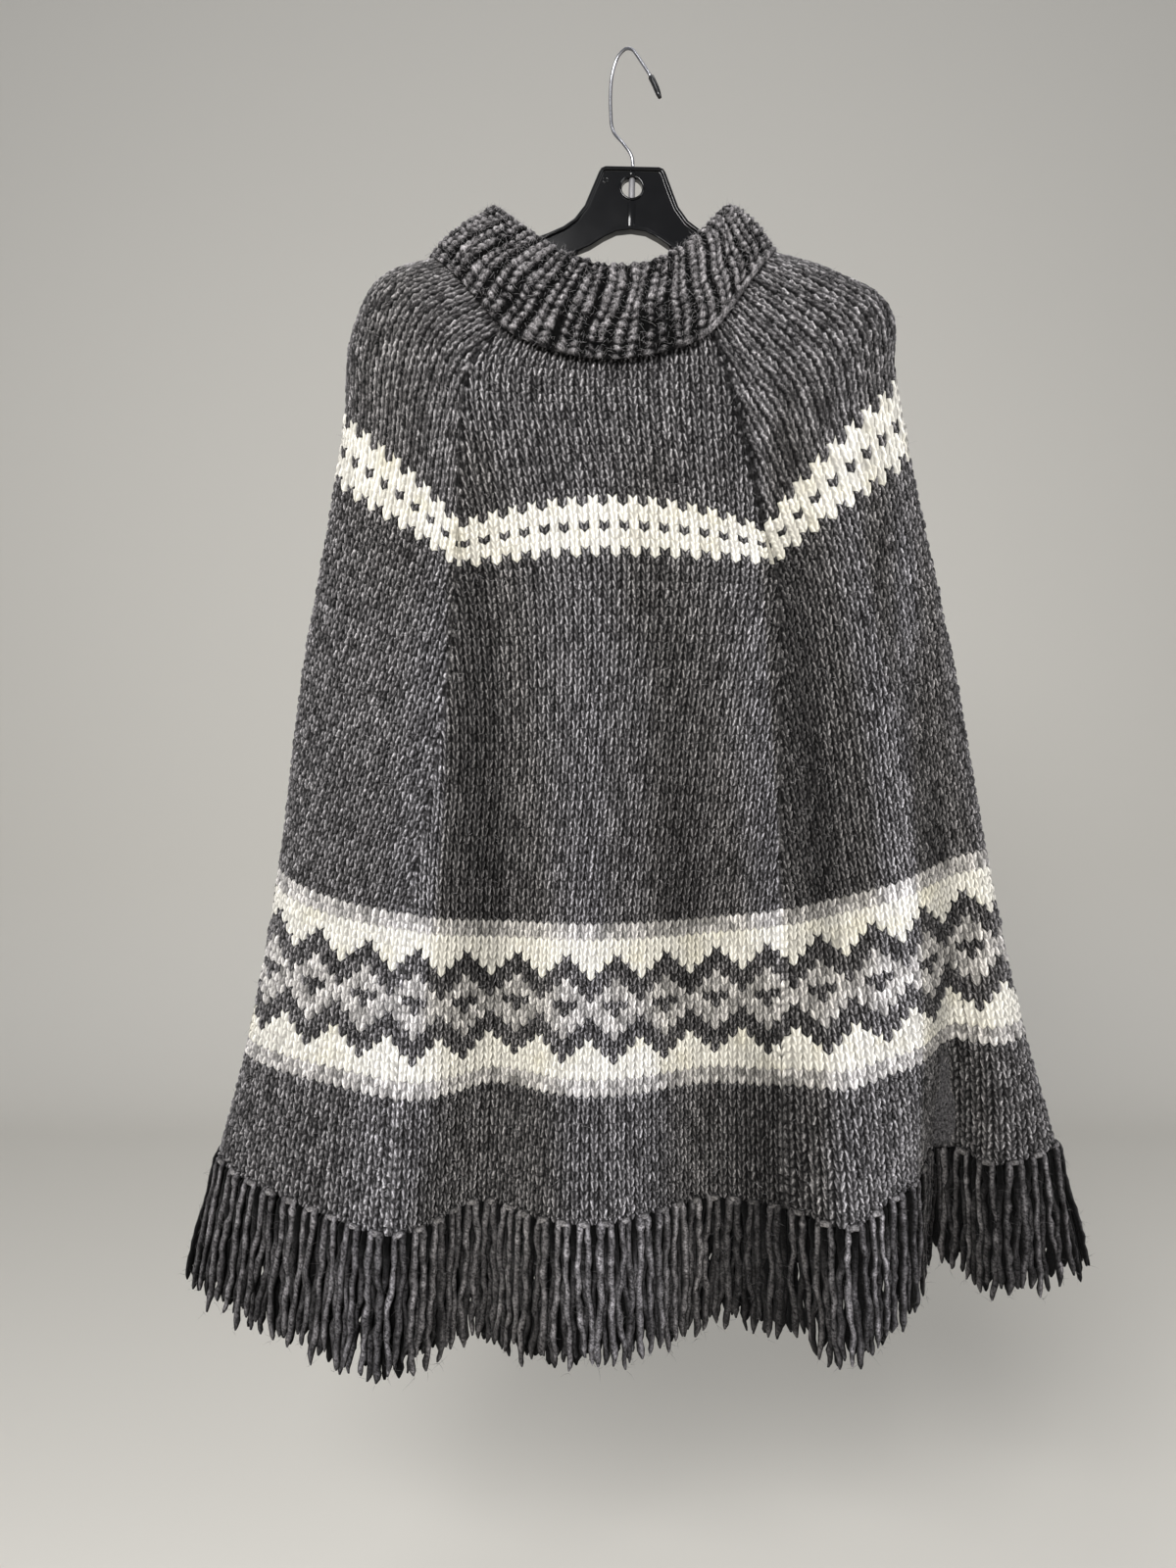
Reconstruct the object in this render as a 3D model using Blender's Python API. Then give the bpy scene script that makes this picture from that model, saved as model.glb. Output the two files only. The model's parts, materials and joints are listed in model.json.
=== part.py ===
"""Knitted poncho sweater hanging on a plastic coat hanger.

Metres, +Z up, +X to the right of someone facing the garment, -Y towards them.
The origin is the inside top of the hanger's hook, where it rests on what carries it.
The tables hold millimetres. A course is one horizontal row of knitting, counted from
the neck seam, and the four raglan lines part the body into four gores.
"""

import math
import random
from collections import namedtuple

import bmesh
import bpy
import numpy as np

MM = 0.001

# ---------------------------------------------------------------- driving sizes (mm)
CLOTH = 4.5
SEAM_GAP = 0.45
HEM_ROW = 106.0
GORE_COLUMNS = 20
GORE_ROWS = (0, 3.5, 7, 10.5, 14, 21, 28, 38, 49, 59, 70, 80, 91, 99, HEM_ROW)
CORNER_ROW = 35.0
SMOOTH_ROW = 60.0
SAMPLES_PER_STATION = 24
RAGLAN_FLATNESS = 0.35
SHOULDER_ROW = 14.0
YOKE_ROW = 28.0
SHOULDER_FULLNESS = 2.6
EDGE_FULLNESS = 1.15
SHOULDER_ROUNDNESS = 1.8
EDGE_ROUNDNESS = 1.3

RIB_COUNT = 32
COLUMNS_PER_RIB = 4
RIB_DEPTH = 2.6
ROLL_RIB_SHARE = 0.5
LIP_RIB_SHARE = 0.3
COLLAR_WALL = 5.0
FOLD_GAP = 1.2
NECK_GAP = 0.6
CUFF_BULGE = 4.0
CUFF_LIP = 4.0
CUFF_TUCK = 0.6

STRANDS_PER_COLUMN = 3
STRANDS_PER_TASSEL = 4
STRIP_GAP = 0.4
STRIP_HEIGHT = 7.0
STRAND_LENGTH = 104.0
STRAND_LENGTH_SPREAD = 9.0
STRAND_WIDTH = 3.4
STRAND_LEAN = 0.8
STRAND_KNEE = 0.86
TASSEL_GATHER = 0.35
STRAND_SWAY = 0.4
END_SWAY_SHARE = 1.3

HANGER_THICKNESS = 10.0
HANGER_TILT_DEG = 1.2
HANGER_CENTRE_X = 6.6
HANGER_RECESS = 2.0
HANGER_RIM = 3.0
WINDOW_RADIUS = 8.5
WINDOW_Z = -115.2
WINDOW_SIDES = 20
HOOK_WIRE = 2.8
HOOK_SPACING = 3.0
HOOK_TURN_DEG = 35.0
HOOK_TURN_START_Z = -94.0
HOOK_TURN_RISE = 30.0
HOOK_TIP = 5.0
HOOK_TIP_Z = -32.5
HOOK_TIP_RADII = (1.0, 1.0, 1.0, 1.0, 0.9, 0.62)

# ------------------------------------------------------------------- body sections
# One row for each measured course: outer surface points (x, y, z) on eight named lines.
Course = namedtuple("Course", "row front front_right right back_right back back_left left front_left")
COURSES = (
    Course(0, (-17, -38, -237), (64, -36, -234), (110, 0, -166), (69, 16, -204),
           (-13, 20, -196), (-93, 16, -204), (-149, 0, -170), (-89, -36, -232)),
    Course(7, (-16, -41, -284), (82, -37, -289), (168, 0, -182), (92, 18, -253),
           (-13, 22, -241), (-118, 18, -253), (-204, 0, -190), (-126, -38, -275)),
    Course(14, (-14, -43, -330), (95, -39, -345), (216, 0, -211), (107, 19, -309),
           (-12, 22, -288), (-131, 19, -309), (-228, 0, -240), (-134, -40, -334)),
    Course(21, (-11, -45, -377), (107, -41, -401), (221, -3, -269), (117, 20, -366),
           (-10, 22, -336), (-133, 20, -366), (-232, -3, -299), (-134, -42, -397)),
    Course(28, (-10, -50, -425), (115, -46, -433), (232, -6, -335), (129, 22, -406),
           (-5, 24, -383), (-134, 22, -408), (-239, -6, -355), (-135, -46, -435)),
    Course(49, (-19, -60, -568), (116, -59, -571), (265, -12, -503), (157, 26, -541),
           (12, 29, -526), (-123, 26, -541), (-265, -12, -519), (-146, -58, -571)),
    Course(70, (-28, -71, -711), (114, -69, -701), (290, -22, -666), (182, 30, -673),
           (36, 33, -668), (-111, 30, -676), (-283, -18, -681), (-168, -69, -704)),
    Course(91, (-28, -82, -838), (115, -76, -835), (319, -24, -805), (197, 35, -813),
           (42, 38, -806), (-118, 35, -816), (-308, -20, -820), (-176, -78, -841)),
    Course(106, (-28, -84, -933), (119, -66, -934), (346, -20, -896), (207, 38, -911),
           (45, 42, -906), (-123, 38, -911), (-331, -18, -905), (-181, -86, -941)),
)
STATIONS = Course._fields[1:]

# Soft folds that run down the cloth: where each lies, how wide it is and how far it
# lifts off the plain section (negative is a trough), at three courses.
# drop_hem is how far the hem hangs below its plain line there.
Fold = namedtuple("Fold", "face x_yoke x_chest x_hem width_yoke width_hem lift_yoke lift_chest lift_hem drop_hem")
FOLD_ROWS = (YOKE_ROW, 70.0, HEM_ROW)
FOLD_START_ROW = 12.0
DROP_START_ROW = 74.0
FOLDS = (
    Fold("front", -138, -150, -180, 26, 36, 3, 8, 6, 3),
    Fold("front", -108, -91, -116, 26, 36, -4, -8, -30, -11),
    Fold("front", -20, -25, -22, 40, 40, 1, 4, 6, 3),
    Fold("front", 38, 60, 66, 30, 46, -2, -7, -20, -7),
    Fold("front", 110, 112, 108, 24, 26, 3, 6, 0, 0),
    Fold("front", 135, 167, 166, 26, 30, -5, -8, 22, 14),
    Fold("front", 178, 216, 218, 24, 28, 2, 6, 0, 2),
    Fold("front", 205, 258, 256, 22, 22, 0, -10, -62, -16),
    Fold("back", -150, -170, -200, 40, 50, 3, 6, 10, 0),
    Fold("back", -70, -75, -90, 40, 50, -3, -6, -10, 0),
    Fold("back", 20, 30, 30, 46, 60, 2, 5, 8, 0),
    Fold("back", 110, 125, 140, 40, 50, -2, -6, -10, 0),
    Fold("back", 180, 230, 260, 36, 50, 2, 6, 8, 0),
)

# ------------------------------------------------------------------ collar sections
# Closed loops on the same eight lines: the top of the roll, the course that the
# turned-down edge lies over, and how far the edge stands off the cloth there.
Loop = namedtuple("Loop", "front front_right right back_right back back_left left front_left")
RIM = Loop((1, -44, -197), (52, -33, -170), (80, 0, -130), (42, 20, -163),
           (-3, 24, -181), (-63, 20, -163), (-107, 0, -130), (-60, -33, -177))
CUFF_ROW = Loop(5.7, 2.5, 1.9, 3.4, 7.0, 3.4, 2.0, 2.7)
CUFF_STAND = Loop(5.0, 3.0, 1.2, 2.2, 3.0, 3.0, 2.4, 3.0)
CUFF_LAST_ROW = 9

# ------------------------------------------------------------------- hanger outline
# Half outline of the flat hanger: distance from its centre line, and height.
Corner = namedtuple("Corner", "half_width z")
HANGER_TOP = (
    Corner(0, -98.5), Corner(22, -98.5), Corner(25.6, -100), Corner(27.4, -103), Corner(32.6, -117),
    Corner(38.6, -131), Corner(46.8, -142), Corner(56, -148.7), Corner(68, -154.4), Corner(86, -161.6),
    Corner(104, -170.5), Corner(124, -177), Corner(150, -182.6), Corner(166, -187), Corner(182, -194),
    Corner(191, -199.2), Corner(196, -204.5),
)
HANGER_UNDER = (
    Corner(199, -210), Corner(197, -215), Corner(191, -217), Corner(90, -188), Corner(48, -170),
    Corner(34, -164.6), Corner(22, -156.8), Corner(12, -151.8), Corner(0, -150.2),
)
# Centre line of the hook's wire, in its own plane: distance right of the origin, height.
Bend = namedtuple("Bend", "x z")
HOOK_ROUTE = (
    Bend(5.2, -98.1), Bend(4.5, -89.5), Bend(-2.6, -77), Bend(-10.0, -65),
    Bend(-12.3, -57), Bend(-13.0, -47), Bend(-13.2, -30), Bend(-12.4, -18.5), Bend(-10.0, -8.2),
    Bend(-6.0, -1.2), Bend(-0.6, 1.4), Bend(4.4, -1.6), Bend(8.4, -8.4), Bend(12.2, -16.0),
    Bend(16.2, -24.0), Bend(20.0, -32.5), Bend(23.2, -41.0), Bend(26.2, -50.4),
)


# =========================================================================== tools
def hermite(knots, values, at):
    """Smooth curve through values (one row a knot), read at one place along the knots."""
    knots = np.asarray(knots, float)
    values = np.asarray(values, float)
    k = int(np.clip(np.searchsorted(knots, at, side="right") - 1, 0, len(knots) - 2))
    slopes = np.gradient(values, knots, axis=0)
    span = knots[k + 1] - knots[k]
    t = (at - knots[k]) / span
    return (
        (2 * t**3 - 3 * t**2 + 1) * values[k]
        + (t**3 - 2 * t**2 + t) * span * slopes[k]
        + (3 * t**2 - 2 * t**3) * values[k + 1]
        + (t**3 - t**2) * span * slopes[k + 1]
    )


def unit(vectors):
    """Each vector at length one."""
    return vectors / np.linalg.norm(vectors, axis=-1, keepdims=True)


def stations_at(row):
    """The eight outer points of the course at this row, front first, going round to the right."""
    rows = [course.row for course in COURSES]
    points = [[getattr(course, name) for name in STATIONS] for course in COURSES]
    return hermite(rows, points, row)


def dense_loop(stations, corners=0.0, fullness=EDGE_FULLNESS, roundness=EDGE_ROUNDNESS):
    """Closed smooth loop through eight stations, SAMPLES_PER_STATION points for each.

    The side stations are its widest points, and fullness says how bluntly it turns
    there. corners blends the heights from a smooth curve (0) to one that turns sharply
    at the raglan lines (1), and roundness is how slowly that one leaves the sides."""
    count = len(stations)
    tangents = (np.roll(stations, -1, axis=0) - np.roll(stations, 1, axis=0)) / 2
    tangents[1::2, 1] *= RAGLAN_FLATNESS
    for side in (2, 6):
        length = np.linalg.norm(tangents[side, :2]) * fullness
        tangents[side, :2] = (0, math.copysign(length, tangents[side, 1]))
    points = []
    for k in range(count):
        start, end = stations[k], stations[(k + 1) % count]
        first, last = tangents[k], tangents[(k + 1) % count]
        from_middle = k % 2 == 0
        power = roundness if (k in (1, 2, 5, 6)) else 2.0
        for step in range(SAMPLES_PER_STATION):
            t = step / SAMPLES_PER_STATION
            point = (
                (2 * t**3 - 3 * t**2 + 1) * start
                + (t**3 - 2 * t**2 + t) * first
                + (3 * t**2 - 2 * t**3) * end
                + (t**3 - t**2) * last
            )
            if from_middle:
                cornered = start[2] + (end[2] - start[2]) * t**power
            else:
                cornered = end[2] + (start[2] - end[2]) * (1 - t) ** power
            point[2] += (cornered - point[2]) * corners
            points.append(point)
    return np.array(points)


def fold_shift(fold, row, x):
    """How far one fold lifts the cloth, and lowers it, at these x values of a course."""
    below = max(row, FOLD_ROWS[0])
    place = hermite(FOLD_ROWS, (fold.x_yoke, fold.x_chest, fold.x_hem), below)
    lift = hermite(FOLD_ROWS, (fold.lift_yoke, fold.lift_chest, fold.lift_hem), below)
    spread = (below - FOLD_ROWS[0]) / (HEM_ROW - FOLD_ROWS[0])
    width = fold.width_yoke + (fold.width_hem - fold.width_yoke) * spread
    fade = np.clip((row - FOLD_START_ROW) / (FOLD_ROWS[0] - FOLD_START_ROW), 0, 1)
    hanging = np.clip((row - DROP_START_ROW) / (HEM_ROW - DROP_START_ROW), 0, 1)
    bump = np.exp(-(((x - place) / width) ** 2))
    return lift * fade * bump, fold.drop_hem * hanging * bump


def course_loop(row):
    """Dense closed loop of the cloth's outer surface at one course, folds included."""
    corners = float(np.clip((SMOOTH_ROW - row) / (SMOOTH_ROW - CORNER_ROW), 0, 1))
    on_arm = float(np.clip((YOKE_ROW - row) / (YOKE_ROW - SHOULDER_ROW), 0, 1))
    fullness = EDGE_FULLNESS + (SHOULDER_FULLNESS - EDGE_FULLNESS) * on_arm
    roundness = EDGE_ROUNDNESS + (SHOULDER_ROUNDNESS - EDGE_ROUNDNESS) * on_arm
    points = dense_loop(stations_at(row), corners, fullness, roundness)
    station = np.arange(len(points)) / SAMPLES_PER_STATION
    from_front = np.minimum(station, len(STATIONS) - station)
    on_front = np.clip(1 - (from_front / 2) ** 6, 0, 1)
    on_back = np.clip(1 - (np.abs(from_front - 4) / 2) ** 6, 0, 1)
    plain_x = points[:, 0].copy()
    for fold in FOLDS:
        lift, drop = fold_shift(fold, row, plain_x)
        if fold.face == "front":
            points[:, 1] -= lift * on_front
            points[:, 2] -= drop * on_front
        else:
            points[:, 1] += lift * on_back
            points[:, 2] -= drop * on_back
    return points


def along(points, places):
    """Points at these fractions of an open polyline's length."""
    steps = np.linalg.norm(np.diff(points, axis=0), axis=1)
    travelled = np.concatenate([[0], np.cumsum(steps)])
    return np.stack(
        [np.interp(np.asarray(places) * travelled[-1], travelled, points[:, axis]) for axis in range(3)],
        axis=-1,
    )


GORES = ("front", "right", "back", "left")


def gore_slice(loop, gore):
    """The stretch of a dense loop between the gore's two raglan lines."""
    start = (GORES.index(gore) * 2 - 1) * SAMPLES_PER_STATION
    index = np.arange(start, start + 2 * SAMPLES_PER_STATION + 1) % len(loop)
    return loop[index]


def course_columns(row):
    """The course's points at every gore column, with even stitches inside each gore."""
    loop = course_loop(row)
    places = np.arange(GORE_COLUMNS) / GORE_COLUMNS
    return np.concatenate([along(gore_slice(loop, gore), places) for gore in GORES])


def grid_directions(points):
    """Outward normals and downward directions of a grid whose columns close."""
    around = np.roll(points, -1, axis=1) - np.roll(points, 1, axis=1)
    down = unit(np.gradient(points, axis=0))
    return unit(np.cross(around, -down)), down


def body_grids():
    """Outer and inner points of the whole body, [course][column], the columns closing."""
    outer = np.array([course_columns(row) for row in GORE_ROWS])
    normals, _ = grid_directions(outer)
    return outer, outer - normals * CLOTH


# ==================================================================== Blender meshes
def material(name, colour, roughness, metallic=0.0):
    """A Principled material, made once."""
    made = bpy.data.materials.new(name)
    made.use_nodes = True
    shader = made.node_tree.nodes["Principled BSDF"]
    shader.inputs["Base Color"].default_value = (*colour, 1.0)
    shader.inputs["Roughness"].default_value = roughness
    shader.inputs["Metallic"].default_value = metallic
    return made


def add_solid(name, points, faces, finish, collection, smooth=True):
    """An object from points in millimetres and faces by index."""
    mesh = bpy.data.meshes.new(name)
    mesh.from_pydata([tuple(np.asarray(point) * MM) for point in points], [], faces)
    mesh.materials.append(finish)
    if smooth:
        mesh.shade_smooth()
    made = bpy.data.objects.new(name, mesh)
    collection.objects.link(made)
    return made


class Surface:
    """Points and faces gathered from grids, each point kept once."""

    def __init__(self):
        self.points = []
        self.faces = []

    def grid(self, points):
        """Adds a grid of points and returns their indices in the same layout."""
        rows, columns = points.shape[:2]
        first = len(self.points)
        self.points.extend(points.reshape(-1, 3))
        return first + np.arange(rows * columns).reshape(rows, columns)

    def skin(self, index):
        """Quads over a grid of indices, facing out where rows go down and columns go right."""
        for r in range(index.shape[0] - 1):
            for c in range(index.shape[1] - 1):
                quad = (index[r, c], index[r + 1, c], index[r + 1, c + 1], index[r, c + 1])
                self.faces.append(tuple(int(i) for i in quad))


def panel(name, outer, inner, finish, collection):
    """A closed wall between two grids of points, rows going down and columns going right."""
    surface = Surface()
    out = surface.grid(outer)
    back = surface.grid(inner)
    surface.skin(out)
    surface.skin(back[:, ::-1])
    surface.skin(np.stack([back[0], out[0]]))
    surface.skin(np.stack([out[-1], back[-1]]))
    surface.skin(np.stack([back[:, 0], out[:, 0]], axis=1))
    surface.skin(np.stack([out[:, -1], back[:, -1]], axis=1))
    return add_solid(name, surface.points, surface.faces, finish, collection)


def gore_column_indices(order):
    """The body grid's columns of one gore, from its first raglan line to its last."""
    return (order * GORE_COLUMNS + np.arange(GORE_COLUMNS + 1)) % (len(GORES) * GORE_COLUMNS)


def build_gores(outer, inner, finish, collection):
    """The four body panels, parted by half a seam gap on each side of a raglan line."""
    normals, down = grid_directions(outer)
    aside = unit(np.cross(normals, down))
    for order, gore in enumerate(GORES):
        columns = gore_column_indices(order)
        walls = []
        for wall in (outer, inner):
            cut = wall[:, columns].copy()
            cut[:, 0] += aside[:, columns[0]] * SEAM_GAP / 2
            cut[:, -1] -= aside[:, columns[-1]] * SEAM_GAP / 2
            cut[0] += down[0, columns] * SEAM_GAP / 2
            cut[-1] -= down[-1, columns] * SEAM_GAP / 2
            walls.append(cut)
        panel(f"{gore}_gore", walls[0], walls[1], finish, collection)


# ============================================================================ collar
def even_loop(points, count):
    """A closed polyline read at count even places, from its first point on."""
    closed = np.concatenate([points, points[:1]])
    return along(closed, np.arange(count) / count)


def round_the_neck(values):
    """Rows of eight values, each made a smooth closed curve at every sample of a loop."""
    stops = np.arange(-2, values.shape[1] + 3)
    wrapped = values[:, stops % values.shape[1]].T
    places = np.arange(values.shape[1] * SAMPLES_PER_STATION) / SAMPLES_PER_STATION
    return np.array([hermite(stops, wrapped, place) for place in places]).T


def cuff_edge_loop():
    """Where the cuff's lower edge lies: over the body's outer face, and just off it."""
    loops = np.array([course_loop(row) for row in range(CUFF_LAST_ROW + 1)])
    normals, _ = grid_directions(loops)
    row, stand = round_the_neck(np.array([CUFF_ROW, CUFF_STAND]))
    above = row.astype(int)
    part = (row - above)[:, None]
    column = np.arange(loops.shape[1])
    place = loops[above, column] * (1 - part) + loops[above + 1, column] * part
    return place + normals[above, column] * (COLLAR_WALL + stand)[:, None]


def build_collar(outer, inner, finish, collection):
    """Neck tube and turned-down cuff in one closed wall, ribbed on its face side."""
    count = RIB_COUNT * COLUMNS_PER_RIB
    middle = GORE_COLUMNS // 2
    seam_out = even_loop(np.roll(outer[0], -middle, axis=0), count)
    seam_in = even_loop(np.roll(inner[0], -middle, axis=0), count)
    rim = even_loop(dense_loop(np.array(RIM, float)), count)
    edge = even_loop(cuff_edge_loop(), count)

    rim_run = unit(np.roll(rim, -1, axis=0) - np.roll(rim, 1, axis=0))
    edge_run = unit(np.roll(edge, -1, axis=0) - np.roll(edge, 1, axis=0))
    up = rim - (seam_out + edge) / 2
    up = unit(up - rim_run * np.sum(up * rim_run, axis=1, keepdims=True))
    outward = unit(np.cross(rim_run, up))
    roll = COLLAR_WALL + FOLD_GAP / 2
    core = rim - up * roll

    cuff_top = core + outward * roll
    cuff_up = unit(cuff_top - edge)
    cuff_out = unit(np.cross(edge_run, cuff_up))
    rise = unit(core - (seam_out + seam_in) / 2)
    seam_out = seam_out + rise * NECK_GAP
    seam_in = seam_in + rise * NECK_GAP

    valley = np.array([RIB_DEPTH if i % COLUMNS_PER_RIB == 0 else 0.0 for i in range(count)])[:, None]
    cuff_middle = (cuff_top + edge) / 2 + cuff_out * CUFF_BULGE
    tube_in_top = core - outward * roll
    section = np.stack([
        seam_in,
        (seam_in + tube_in_top) / 2 + outward * valley * ROLL_RIB_SHARE,
        tube_in_top + outward * valley,
        rim - up * valley * ROLL_RIB_SHARE,
        cuff_top - outward * valley,
        cuff_middle - cuff_out * valley,
        edge + cuff_up * CUFF_LIP - cuff_out * valley,
        edge - cuff_out * (COLLAR_WALL / 2 + valley * LIP_RIB_SHARE),
        edge + cuff_up * CUFF_LIP - cuff_out * (COLLAR_WALL + CUFF_TUCK),
        cuff_middle - cuff_out * COLLAR_WALL,
        core + outward * FOLD_GAP / 2,
        core - outward * FOLD_GAP / 2,
        seam_out,
    ])
    surface = Surface()
    index = surface.grid(section)
    index = np.concatenate([index, index[:1]])
    index = np.concatenate([index, index[:, :1]], axis=1)
    surface.skin(index)
    return add_solid("collar", surface.points, surface.faces, finish, collection)


# ============================================================================ fringe
def between_columns(points, per_column):
    """An open row of points with each of its stretches divided evenly."""
    places = np.arange((len(points) - 1) * per_column + 1) / per_column
    whole = np.arange(len(points))
    return np.stack([np.interp(places, whole, points[:, axis]) for axis in range(3)], axis=-1)


def build_fringe(outer, inner, finish, collection):
    """Four strips under the hem, each with its strands drawn down out of it."""
    normals, down = grid_directions(outer)
    aside = unit(np.cross(normals, down))[-1]
    for order, gore in enumerate(GORES):
        rng = random.Random(order + 1)
        columns = gore_column_indices(order)
        tops = []
        for wall in (inner, outer):
            edge = wall[-1, columns] + down[-1, columns] * STRIP_GAP
            edge[0] += aside[columns[0]] * SEAM_GAP / 2
            edge[-1] -= aside[columns[-1]] * SEAM_GAP / 2
            tops.append(between_columns(edge, STRANDS_PER_COLUMN))
        drop = unit(between_columns(down[-1, columns], STRANDS_PER_COLUMN))
        run = unit(np.gradient(tops[1], axis=0))
        surface = Surface()
        top = surface.grid(np.stack(tops))
        root = surface.grid(np.stack([tops[1], tops[0]]) + drop * STRIP_HEIGHT)
        surface.skin(top)
        surface.skin(np.stack([top[1], root[0]]))
        surface.skin(np.stack([root[1], top[0]]))
        for end, turn in ((0, 1), (-1, -1)):
            quad = (top[0, end], root[1, end], root[0, end], top[1, end])
            surface.faces.append(tuple(int(i) for i in quad[::turn]))
        points = np.array(surface.points)
        for strand in range(len(drop) - 1):
            corners = (root[0, strand], root[0, strand + 1], root[1, strand + 1], root[1, strand])
            add_strand(surface, points[list(corners)], corners, drop[strand], run[strand], strand, rng)
        add_solid(f"fringe_{gore}", surface.points, surface.faces, finish, collection, smooth=False)


def add_strand(surface, corners, root, cloth_down, run, strand, rng):
    """One four-sided strand from its root quad to a pointed end."""
    length = STRAND_LENGTH + rng.uniform(-1, 1) * STRAND_LENGTH_SPREAD
    in_tassel = strand % STRANDS_PER_TASSEL - (STRANDS_PER_TASSEL - 1) / 2
    hang = unit(cloth_down * STRAND_LEAN + np.array((0, 0, -1)) * (1 - STRAND_LEAN))
    centre = corners.mean(axis=0)
    through = unit(corners[3] - corners[0])
    sway = -in_tassel * TASSEL_GATHER + rng.uniform(-STRAND_SWAY, STRAND_SWAY)
    knee = centre + hang * length * STRAND_KNEE + run * sway
    half = STRAND_WIDTH / 2
    ring = [
        knee - run * half - through * half,
        knee + run * half - through * half,
        knee + run * half + through * half,
        knee - run * half + through * half,
    ]
    first = len(surface.points)
    surface.points.extend(ring)
    surface.points.append(centre + hang * length + run * sway * END_SWAY_SHARE)
    for side in range(4):
        after = (side + 1) % 4
        surface.faces.append((int(root[side]), first + side, first + after, int(root[after])))
        surface.faces.append((first + side, first + 4, first + after))


# ============================================================================ hanger
def outline_curve(name, corners, half_thickness):
    """A filled flat outline in the XZ plane, extruded to both sides of y = 0."""
    curve = bpy.data.curves.new(name, "CURVE")
    curve.dimensions = "2D"
    curve.fill_mode = "BOTH"
    curve.extrude = half_thickness * MM
    spline = curve.splines.new("POLY")
    spline.points.add(len(corners) - 1)
    for point, (x, z) in zip(spline.points, corners):
        point.co = (x * MM, z * MM, 0, 1)
    spline.use_cyclic_u = True
    return curve


def mesh_of_curve(name, curve, turn):
    """A welded mesh object made from a curve that stands under this matrix."""
    made = bpy.data.objects.new(name, curve)
    bpy.context.scene.collection.objects.link(made)
    made.rotation_euler = turn
    bpy.context.view_layer.update()
    graph = bpy.context.evaluated_depsgraph_get()
    mesh = bpy.data.meshes.new_from_object(made.evaluated_get(graph))
    mesh.transform(made.matrix_world)
    bpy.data.objects.remove(made)
    shape = bmesh.new()
    shape.from_mesh(mesh)
    bmesh.ops.remove_doubles(shape, verts=shape.verts, dist=1e-5)
    bmesh.ops.recalc_face_normals(shape, faces=shape.faces)
    shape.to_mesh(mesh)
    shape.free()
    return bpy.data.objects.new(name, mesh)


def hanger_outline(inset=0.0):
    """The closed outline, right half then left half mirrored, optionally drawn inwards."""
    right = [(corner.half_width, corner.z) for corner in HANGER_TOP + HANGER_UNDER]
    left = [(-x, z) for x, z in right[-2:0:-1]]
    loop = np.array(right + left, float)
    if inset:
        run = np.roll(loop, -1, axis=0) - np.roll(loop, 1, axis=0)
        run /= np.linalg.norm(run, axis=1, keepdims=True)
        loop += np.stack([run[:, 1], -run[:, 0]], axis=1) * inset
    return loop


def cutter(name, points_curve, place_y, collection):
    """A hidden cutting solid, moved along Y."""
    made = mesh_of_curve(name, points_curve, (math.pi / 2, 0, 0))
    made.location.y = place_y * MM
    made.hide_render = True
    made.display_type = "WIRE"
    collection.objects.link(made)
    return made


def cut_from(body, tool):
    """A Boolean modifier that takes the cutting solid away from the body."""
    cut = body.modifiers.new(tool.name, "BOOLEAN")
    cut.object = tool
    cut.operation = "DIFFERENCE"
    cut.solver = "EXACT"


def build_hanger(finish, collection, cutters):
    """The flat plastic hanger: outline plate, recessed on both faces, with a round window."""
    half = HANGER_THICKNESS / 2
    plate = mesh_of_curve("hanger_body", outline_curve("hanger_outline", hanger_outline(), half),
                          (math.pi / 2, 0, 0))
    plate.data.materials.append(finish)
    collection.objects.link(plate)
    panel_outline = hanger_outline(HANGER_RIM)
    for side in (-1, 1):
        curve = outline_curve("recess", panel_outline, HANGER_RECESS)
        cut_from(plate, cutter(f"recess_cutter_{side}", curve, side * half, cutters))
    turns = [2 * math.pi * step / WINDOW_SIDES for step in range(WINDOW_SIDES)]
    ring = [(WINDOW_RADIUS * math.sin(turn), WINDOW_Z + WINDOW_RADIUS * math.cos(turn)) for turn in turns]
    cut_from(plate, cutter("window_cutter", outline_curve("window", ring, HANGER_THICKNESS), 0, cutters))
    pivot = bpy.data.objects.new("hanger_pivot", None)
    collection.objects.link(pivot)
    pivot.location = (HANGER_CENTRE_X * MM, 0, 0)
    pivot.rotation_euler = (0, math.radians(HANGER_TILT_DEG), 0)
    plate.parent = pivot
    for tool in cutters.objects:
        tool.parent = pivot
    return plate


def hook_points():
    """The wire's centre line in space, read from a smooth curve through its bends.

    Above its stem the hook is swivelled out of the hanger's plane."""
    bends = np.array(HOOK_ROUTE, float)
    knots = np.concatenate([[0], np.cumsum(np.linalg.norm(np.diff(bends, axis=0), axis=1))])
    steps = int(round(knots[-1] / HOOK_SPACING))
    flat = np.array([hermite(knots, bends, knots[-1] * step / steps) for step in range(steps + 1)])
    turn = math.radians(HOOK_TURN_DEG)
    turned = np.clip((flat[:, 1] - HOOK_TURN_START_Z) / HOOK_TURN_RISE, 0, 1)
    y = -flat[:, 0] * math.tan(turn) * turned
    return np.stack([flat[:, 0], y, flat[:, 1]], axis=1)


def wire(name, points, diameter, finish, collection, radii=None):
    """A round wire along points, with its ends closed. radii scale it from point to point."""
    curve = bpy.data.curves.new(name, "CURVE")
    curve.dimensions = "3D"
    curve.bevel_depth = diameter / 2 * MM
    curve.bevel_resolution = 2
    curve.use_fill_caps = True
    spline = curve.splines.new("POLY")
    spline.points.add(len(points) - 1)
    for point, place in zip(spline.points, points):
        point.co = (*(np.asarray(place) * MM), 1)
    for point, radius in zip(spline.points, radii or ()):
        point.radius = radius
    curve.materials.append(finish)
    made = bpy.data.objects.new(name, curve)
    collection.objects.link(made)
    return made


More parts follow.
